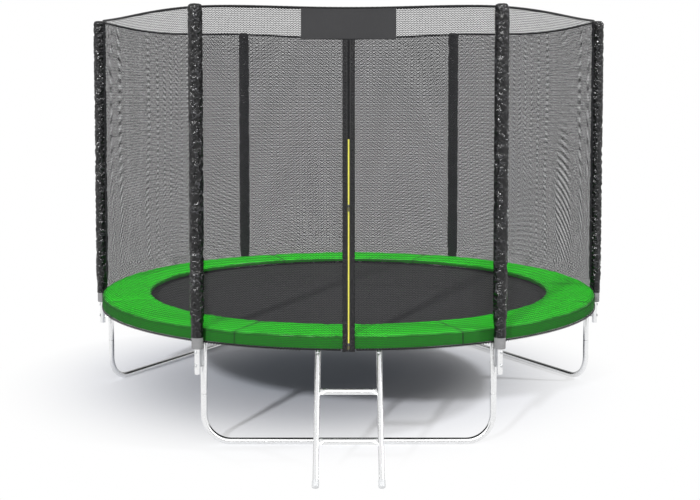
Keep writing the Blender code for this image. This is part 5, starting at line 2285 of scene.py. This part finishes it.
@dataclass
class Door:
    """Two dark strips, the zip between them and its two sliders.

    Attributes:
        net: where the net hangs.
        chain: half the width of the zip's teeth.
        tooth: height of one tooth and the gap above it.
        teeth_out: how far the teeth stand off the door's plane.
        piping: from the middle to the piping beside the zip.
        slider_half: half the slider's width.
        slider_long: its length.
        pull_long: length of its pull.
        foot: height of the door's foot.
        top: height of its top.
        half: half its width.
        tilt: angle of its lean.
    """

    net: NetShape
    chain: float = 0.0033
    tooth: float = 0.0042
    teeth_out: float = 0.0034
    piping: float = 0.0088
    slider_half: float = 0.0053
    slider_long: float = 0.016
    pull_long: float = 0.032
    foot: float = field(init=False)
    top: float = field(init=False)
    half: float = field(init=False)
    tilt: float = field(init=False)

    def __post_init__(self) -> None:
        """Read the tape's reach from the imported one."""
        low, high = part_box("door_tape")
        self.foot, self.top = low.z, high.z
        self.half = (high.x - low.x) / 2
        self.tilt = math.atan(self.net.lean)

    def place(self, height: float) -> Matrix:
        """From the door's own frame, X across, Y in and Z up the lean, to the model at a height."""
        at = self.net.layout.around(0, self.net.door_distance(height), height)
        return Matrix.Translation(at) @ Matrix.Rotation(-self.tilt, 4, "X")

    def length(self, low: float, high: float) -> float:
        """Length up the lean from one height to another."""
        return (high - low) / math.cos(self.tilt)

    def strips(self) -> Piece:
        """The creased strips and the flat tape between them, as one cloth.

        Returns:
            The cloth.
        """
        columns, rows = 24, 520
        limit = self.half + 0.0006
        points, uvs = [], []
        for row in range(rows + 1):
            up = self.length(self.foot, self.top) * row / rows
            for column in range(columns + 1):
                across = self.half * (2 * column / columns - 1)
                side = abs(across)
                fold = ridges(Vector((across * 55, up * 42, 1.7 if across < 0 else 8.2)), 2.0)
                swell = ease((side - 0.0085) / 0.004) * ease((self.half - side) / 0.003 + 0.15)
                out = 0.0012 + (0.0003 + 0.0023 * fold) * swell
                ripple = 0.0008 * math.sin(up * 260 + 3 * noise.noise(Vector((up * 9, side * 40, 0))))
                ripple *= ease((side - self.half + 0.006) / 0.006)
                edge = across + (ripple if across > 0 else -ripple)
                points.append(Vector((max(-limit, min(limit, edge)), -out, up)))
                uvs.append((across, up))
        piece = Bench.cloth("door_strips", points, grid(rows + 1, columns + 1), uvs)
        Bench.modify(piece, "SOLIDIFY", thickness=0.0011, offset=-1)
        piece.data.transform(self.place(self.foot))
        return piece

    def edging(self) -> Piece:
        """Thin piping along both sides of the zip's black middle.

        Returns:
            The piping.
        """
        length = self.length(self.foot, self.top) - 0.004
        lines = [Run("piping", Vector((side * self.piping, -0.0017, 0.002)), UP, 0.0011, 8)
                 .straight(length).close() for side in (-1, 1)]
        piece = Bench.join("door_piping", *lines)
        piece.data.transform(self.place(self.foot))
        return piece

    def teeth(self, low: float, high: float) -> Piece:
        """The interlocked teeth.

        Args:
            low: height of the first tooth.
            high: height of their end.

        Returns:
            The piece.
        """
        centre = FRONT * self.teeth_out
        tooth = Bench.primitive("zip_teeth", "cube", size=1, location=centre,
                                scale=(self.chain * 1.25, 0.0030, self.tooth * 0.42))
        with Bench.editing(tooth, "FACE", lambda face: face.normal.x > 0.9):
            bpy.ops.transform.resize(value=(1, 0.8, 0.62),
                                     center_override=centre + RIGHT * self.chain * 0.62)
        tooth.data.transform(Matrix.Translation(RIGHT * self.chain * -0.375))
        across = (Matrix.Translation((0, 0, self.tooth / 2)) @ Matrix.Rotation(math.pi, 4, "Z")
                  @ Matrix.Translation(centre * -2))
        pair = Bench.settle(Bench.join("zip_teeth", tooth, Bench.copy(tooth, "twin", across)))
        Bench.modify(pair, "ARRAY", count=int(self.length(low, high) / self.tooth),
                     use_relative_offset=False, use_constant_offset=True,
                     constant_offset_displace=UP * self.tooth)
        pair.data.transform(self.place(low) @ Matrix.Translation(UP * self.tooth / 4))
        return pair

    def tape(self, low: float, high: float, name: str) -> Piece:
        """Tape that closes the zip's length over or under the teeth.

        Args:
            low: height of its foot.
            high: height of its top.
            name: of the piece.

        Returns:
            The piece.
        """
        run = Run(name, FRONT * 0.0021, UP, bar=(self.chain * 2.3, 0.0018))
        steps = 40
        for _ in range(steps):
            run.straight(self.length(low, high) / steps)
        piece = Bench.bevel(run.close(), 0.0004)
        Bench.cut(piece, lambda corner, centre: (corner.x, corner.z))
        piece.data.transform(self.place(low))
        return piece

    def slider(self, name: str) -> None:
        """A zip slider with its bridge and its hanging pull.

        Args:
            name: of the piece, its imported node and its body.
        """
        body = Bench.primitive("slider", "cube", size=1, location=(0, -0.0058, -self.slider_long / 2),
                               scale=(2 * self.slider_half, 0.0046, self.slider_long))
        with Bench.editing(body):
            bpy.ops.mesh.subdivide(number_cuts=2)
        for point in body.data.vertices:
            share = -point.co.z / self.slider_long
            point.co.x *= 1.0 - 0.34 * share
            if abs(share - 0.5) > 0.499:
                point.co.x *= 0.82
        Bench.bevel(body, 0.0007, limit=25)
        bridge = Run("bridge", Vector((0, -0.0078, -0.0035)), FRONT, 0.0009, 8)
        bridge.straight(0.0002).bend(-UP, 0.0030, 180, 8).straight(0.0002)
        loop = bridge.close()
        pull = Bench.primitive("pull", "cube", size=1, location=(0, -0.0092, -0.022),
                               scale=(0.006, 0.0013, self.pull_long - 0.004))
        with Bench.editing(pull, "FACE", lambda face: abs(face.normal.y) > 0.9):
            bpy.ops.mesh.inset(thickness=0.0011, depth=-0.0003)
        piece = Bench.join(name, body, loop, Bench.bevel(pull, 0.0004))
        piece.data.transform(self.place(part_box(name)[1].z))
        stand(piece, SLIDER_METAL, name, name)

    def build(self) -> None:
        """Make the door's strips, zip and sliders."""
        strips = stand(self.strips(), DOOR_VINYL, FRAME, "door_tape")
        low, upper = self.foot + 0.012, "zip_slider_upper"
        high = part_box(upper)[1].z + joint("zip_slide_upper")["range_m"][1] + 0.013
        sewn = [stand(self.edging(), CORD, FRAME),
                stand(self.tape(low, high, "zip_tape"), ZIP_TAPE, FRAME),
                stand(self.teeth(low, high), ZIP_PLASTIC, FRAME),
                stand(self.tape(high, self.top - 0.002, "zip_tape_closed"), WEBBING, FRAME)]
        self.length(self.foot, self.top)
        for name in (upper, "zip_slider_lower"):
            self.slider(name)


# ---- Ladder ----

@dataclass
class Ladder:
    """Two leaning rails with flat hooks, two pinched rungs and four caps.

    Attributes:
        layout: places.
        radius: of the rails and the rungs.
        foot_radius: of the caps.
        offset: of the rails' centre line below the hinge's line.
        hook_radius: of the hooks' bend.
        hook_bar: width and thickness of the flat hooks.
        tongue: length of a hook along its rail.
        rivets: distances of the rivets along the rail's line.
        pinch: length of a rung's flattened end.
        flat_tall: height of the flattened end.
        flat_thin: its thickness.
        hinge: middle of the hinge's line.
        lean: of the rails from upright.
        across: from the middle to a rail.
    """

    layout: Layout
    radius: float = 0.015
    foot_radius: float = 0.0175
    offset: float = 0.037
    hook_radius: float = 0.021
    hook_bar: tuple[float, float] = (0.022, 0.004)
    tongue: float = 0.045
    rivets: tuple[float, float] = (-0.012, -0.034)
    pinch: float = 0.030
    flat_tall: float = 0.036
    flat_thin: float = 0.013
    hinge: Vector = field(init=False)
    lean: float = field(init=False)
    across: float = field(init=False)

    def __post_init__(self) -> None:
        """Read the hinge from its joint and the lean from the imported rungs."""
        self.hinge = Vector((0, *joint("ladder_swing")["pos_m"][1:]))
        step = middle("ladder_rung_upper") - middle("ladder_rung_lower")
        self.lean = math.atan2(step.y, step.z)
        self.across = middle("ladder_rail_right").x

    @property
    def up(self) -> Vector:
        """Direction up the rails."""
        return Vector((0, math.sin(self.lean), math.cos(self.lean)))

    @property
    def out(self) -> Vector:
        """Level-most direction off the rails, toward the climber."""
        return Vector((0, -math.cos(self.lean), math.sin(self.lean)))

    def line(self, along: float) -> Vector:
        """Point on the middle of the rails' centre lines, from beside the hinge up."""
        return self.hinge + self.up * along - self.out * self.offset

    def along(self, height: float) -> float:
        """Distance along a rail's centre line of a height."""
        return (height - self.line(0).z) / self.up.z

    def foot(self) -> float:
        """Distance along a rail's centre line of its cap's sole."""
        return self.along(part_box("ladder_foot_right")[0].z + self.foot_radius * math.sin(self.lean))

    def rail(self) -> Piece:
        """One rail at the middle.

        Returns:
            The rail.
        """
        low = self.foot() + 0.006
        run = Run("ladder_rail", self.line(low), self.up, self.radius - 0.001, 28)
        run.straight(0.0012, self.radius).straight(-low - 0.0042)
        run.profile([(0.0028, self.radius - 0.0004), (0.0012, self.radius - 0.0022)])
        return run.close()

    def hook(self) -> Piece:
        """Flat hook at the middle, bent over the ring with a riveted tongue down the rail.

        Returns:
            The hook.
        """
        start = math.radians(224.5)
        tangent = Vector((0, -math.sin(start), -math.cos(start)))
        at = self.hinge + Vector((0, -math.cos(start), math.sin(start))) * self.hook_radius
        run = Run("hook", at - tangent * self.tongue, tangent, bar=self.hook_bar)
        run.straight(self.tongue)
        run.bend(self.hinge - run.at, self.hook_radius, 164.5, 26).straight(0.005)
        plate = Bench.bevel(run.close(), 0.0006)
        heads = [self.rivet(self.line(along) + self.out * (self.radius + 0.0038)) for along in self.rivets]
        return Bench.join("hook", plate, *heads)

    def rivet(self, at: Vector) -> Piece:
        """A domed rivet head.

        Args:
            at: its seat.

        Returns:
            The head.
        """
        run = Run("rivet", at - self.out * 0.001, self.out, 0.0052, 18)
        run.profile([(0.001, 0.0052), (0.0007, 0.0050), (0.0008, 0.0042), (0.0006, 0.0028)])
        return run.close(angle=60)

    def rung(self, level: str) -> Piece:
        """One rung, round in the middle and pinched at both ends.

        Args:
            level: upper or lower.

        Returns:
            The piece.
        """
        low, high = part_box(f"ladder_rung_{level}")
        half = (high.x - low.x) / 2
        run = Run(f"rung_{level}", RIGHT * -half, RIGHT, self.radius, 32)
        pinched, plain = [self.pinch / 10] * 10, [(half - self.pinch) / 3] * 6
        for length in pinched + plain + pinched:
            run.straight(length)
        tube = run.close()
        for point in tube.data.vertices:
            share = ease((abs(point.co.x) - (half - self.pinch)) / (self.pinch * 0.75))
            point.co.z *= 1 + (self.flat_tall / 2 / self.radius - 1) * share
            point.co.y *= 1 + (self.flat_thin / 2 / self.radius - 1) * share
        at = self.line(self.along((low.z + high.z) / 2))
        tube.data.transform(Matrix.Translation(at) @ Matrix.Rotation(-self.lean, 4, "X"))
        return tube

    def cap(self) -> Piece:
        """One ribbed foot cap at the middle.

        Returns:
            The cap.
        """
        full = self.foot_radius
        groove = [(0.0006, full - 0.0006), (0.0012, full - 0.0006), (0.0006, full)]
        run = Run("cap", self.line(self.foot()), self.up, full - 0.003, 32)
        run.profile([(0.0008, full - 0.0016), (0.0011, full - 0.0006), (0.0011, full), (0.020, full),
                     *groove, (0.0024, full), *groove, (0.0034, full), (0.0010, full - 0.0005),
                     (0.0005, self.radius + 0.0003), (-0.004, self.radius + 0.0001)])
        return run.close()

    def build(self) -> None:
        """Make the ladder."""
        sorts = ((self.rail(), "ladder_rail_{}_tube", LADDER_STEEL, ["ladder_rail_{}"]),
                 (self.hook(), "ladder_hook_{}", ZINC, []),
                 (self.cap(), "ladder_cap_{}", CAP_PLASTIC, ["ladder_foot_{}"]))
        for side, x in (("left", -self.across), ("right", self.across)):
            for pattern, name, finish, nodes in sorts:
                piece = Bench.copy(pattern, name.format(side), Matrix.Translation((x, 0, 0)))
                stand(piece, finish, LADDER, *[node.format(side) for node in nodes])
        for pattern, *_ in sorts:
            Bench.remove(pattern)
        for level in ("lower", "upper"):
            stand(self.rung(level), LADDER_STEEL, LADDER, f"ladder_rung_{level}")


# ---- Studio ----

@dataclass
class Studio:
    """Pale floor with a painted shadow, soft light and the camera.

    Attributes:
        layout: places.
        floor: half the side of the floor.
        distance: of the camera from the trampoline's axis.
        height: of the camera.
        tilt: of the camera below level, in degrees.
        lens: in millimetres, on a 36 mm sensor.
        shift: of the lens, across and up.
        ambient: light from the surroundings.
        strip: how bright the strip light above the camera looks in reflections.
        floor_colour: linear.
        shade_colour: painted shadow colour of the floor right under the trampoline.
        pool: middle of the painted shadow on the floor, from the trampoline's axis.
        shaded: from where to where the painted shadow gives way to the floor's own colour.
        fade: from where to where the floor turns white.
        lamps: name, direction, spread in degrees and power of each.
    """

    layout: Layout
    floor: float = 30.0
    distance: float = 7.339
    height: float = 1.857
    tilt: float = 3.0
    lens: float = 58.49
    shift: tuple[float, float] = (0.002, -0.1337)
    ambient: float = 0.52
    strip: float = 3.0
    floor_colour: Colour = (0.88, 0.90, 0.97)
    shade_colour: Colour = (0.58, 0.63, 0.72)
    pool: tuple[float, float] = (-0.22, 0.30)
    shaded: tuple[float, float] = (0.3, 0.95)
    fade: tuple[float, float] = (0.80, 2.15)
    lamps: tuple[tuple[str, Triple, float, float], ...] = (
        ("front_softbox", (-0.354, -0.834, 0.423), 3.5, 2.25),
        ("right_softbox", (0.754, -0.133, 0.643), 5.0, 1.5))

    def ground(self) -> None:
        """Lay the floor: pale, with a painted shadow under the trampoline, white farther off."""
        floor = Bench.primitive("floor", "plane", size=2 * self.floor,
                                location=(0, self.layout.axis_y, -0.0002))
        material = bpy.data.materials.new("pale floor")
        material.use_nodes = True
        graph, nodes = Graph(material.node_tree), material.node_tree.nodes
        shader = nodes["Principled BSDF"]
        shader.inputs["Roughness"].default_value = 0.9
        shader.inputs["Specular IOR Level"].default_value = 0.1
        x, y, _ = graph.split(graph.place())
        away = graph.length(graph.math("SUBTRACT", x, self.pool[0]),
                            graph.math("SUBTRACT", y, self.layout.axis_y + self.pool[1]))
        # painted shadow: the floor's colour darkens toward the pool, deepening the trampoline's shadow
        colour = graph.mix(graph.span(away, 0.0, 1.0, *self.shaded, SMOOTH),
                           (*self.shade_colour, 1.0), (*self.floor_colour, 1.0))
        graph.feed(shader.inputs["Base Color"], colour)
        white = graph.add("Emission")
        surface = graph.call("MixShader", [graph.span(away, 0.0, 1.0, *self.fade, SMOOTH),
                                           shader.outputs[0], white.outputs[0]])
        graph.feed(nodes["Material Output"].inputs["Surface"], surface)
        floor.data.materials.append(material)

    def world(self) -> None:
        """Surroundings: white to the camera, softboxes with a dark gap in reflections, dimmer as light."""
        world = bpy.data.worlds.new("surroundings")
        bpy.context.scene.world = world
        world.use_nodes = True
        graph = Graph(world.node_tree)
        rays = graph.add("LightPath").outputs
        x, y, z = graph.split(graph.add("TexCoord").outputs["Generated"])
        level = graph.math("SQRT", graph.math("SUBTRACT", 1.0, graph.math("POWER", z, 2.0)))
        side = graph.math("DIVIDE", graph.math("ABSOLUTE", graph.total(x, 0.12)), level)
        gap = graph.product(graph.span(side, 1.0, 0.0, 0.38, 0.66), graph.span(y, 1.0, 0.0, -0.4, 0.1),
                            graph.span(z, 1.0, 0.0, 0.25, 0.6))
        strip = graph.product(graph.span(z, 0.0, 1.0, 0.26, 0.36), graph.span(z, 1.0, 0.0, 0.62, 0.74),
                              graph.span(y, 1.0, 0.0, -0.55, -0.35), self.strip)
        boxes = graph.product(graph.span(gap, 1.0, 0.08), graph.span(y, 1.0, 0.4, 0.2, 0.9))
        seen = graph.math("MAXIMUM", rays["Is Camera Ray"], rays["Is Transmission Ray"])
        glossy = graph.product(rays["Is Glossy Ray"], graph.total(strip, boxes))
        light = graph.product(graph.math("SUBTRACT", 1.0, rays["Is Glossy Ray"]), self.ambient)
        strength = graph.math("MAXIMUM", graph.math("MAXIMUM", seen, glossy), light)
        background = world.node_tree.nodes["Background"]
        background.inputs["Color"].default_value = (1, 1, 1, 1)
        graph.feed(background.inputs["Strength"], strength)

    def link(self, name: str, data: bpy.types.ID) -> Piece:
        """Put a lamp or a camera in the scene.

        Args:
            name: of the object.
            data: its lamp or camera.

        Returns:
            The object.
        """
        made = bpy.data.objects.new(name, data)
        bpy.context.scene.collection.objects.link(made)
        return made

    def lamp(self, name: str, toward: Triple, spread: float, power: float) -> None:
        """Hang a far soft lamp.

        Args:
            name: of the lamp.
            toward: direction from the trampoline to the lamp.
            spread: how wide it looks from there, in degrees.
            power: light on a surface that faces it.
        """
        light = bpy.data.lights.new(name, "SUN")
        light.energy = power
        light.angle = math.radians(spread)
        self.link(name, light).rotation_euler = Vector(toward).to_track_quat("Z", "Y").to_euler()

    def camera(self) -> None:
        """Set the camera up in front of the trampoline."""
        data = bpy.data.cameras.new("camera")
        data.lens = self.lens
        data.sensor_width = 36
        data.shift_x, data.shift_y = self.shift
        data.clip_end = 200
        camera = self.link("camera", data)
        camera.location = (0, self.layout.axis_y - self.distance, self.height)
        camera.rotation_euler = (math.radians(90 - self.tilt), 0, 0)
        bpy.context.scene.camera = camera

    def build(self) -> None:
        """Set the stage."""
        self.ground()
        self.world()
        for lamp in self.lamps:
            self.lamp(*lamp)
        self.camera()
        bpy.context.scene.view_settings.view_transform = "Standard"


def main() -> None:
    """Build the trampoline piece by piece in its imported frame."""
    noise.seed_set(FOLD_SEED)
    layout = Layout.read()
    net = NetShape.read(layout)
    assemblies = [RingFrame(layout), Fixings(layout), Sleeves(layout), JumpMat(layout), Springs(layout),
                  SpringPad(layout), SafetyNet(net), Banner(net), Door(net), Ladder(layout), Studio(layout)]
    for assembly in assemblies:
        assembly.build()
        log.info("%s: done", type(assembly).__name__)


if __name__ == "__main__":
    logging.basicConfig(level=logging.INFO, format="%(message)s")
    main()
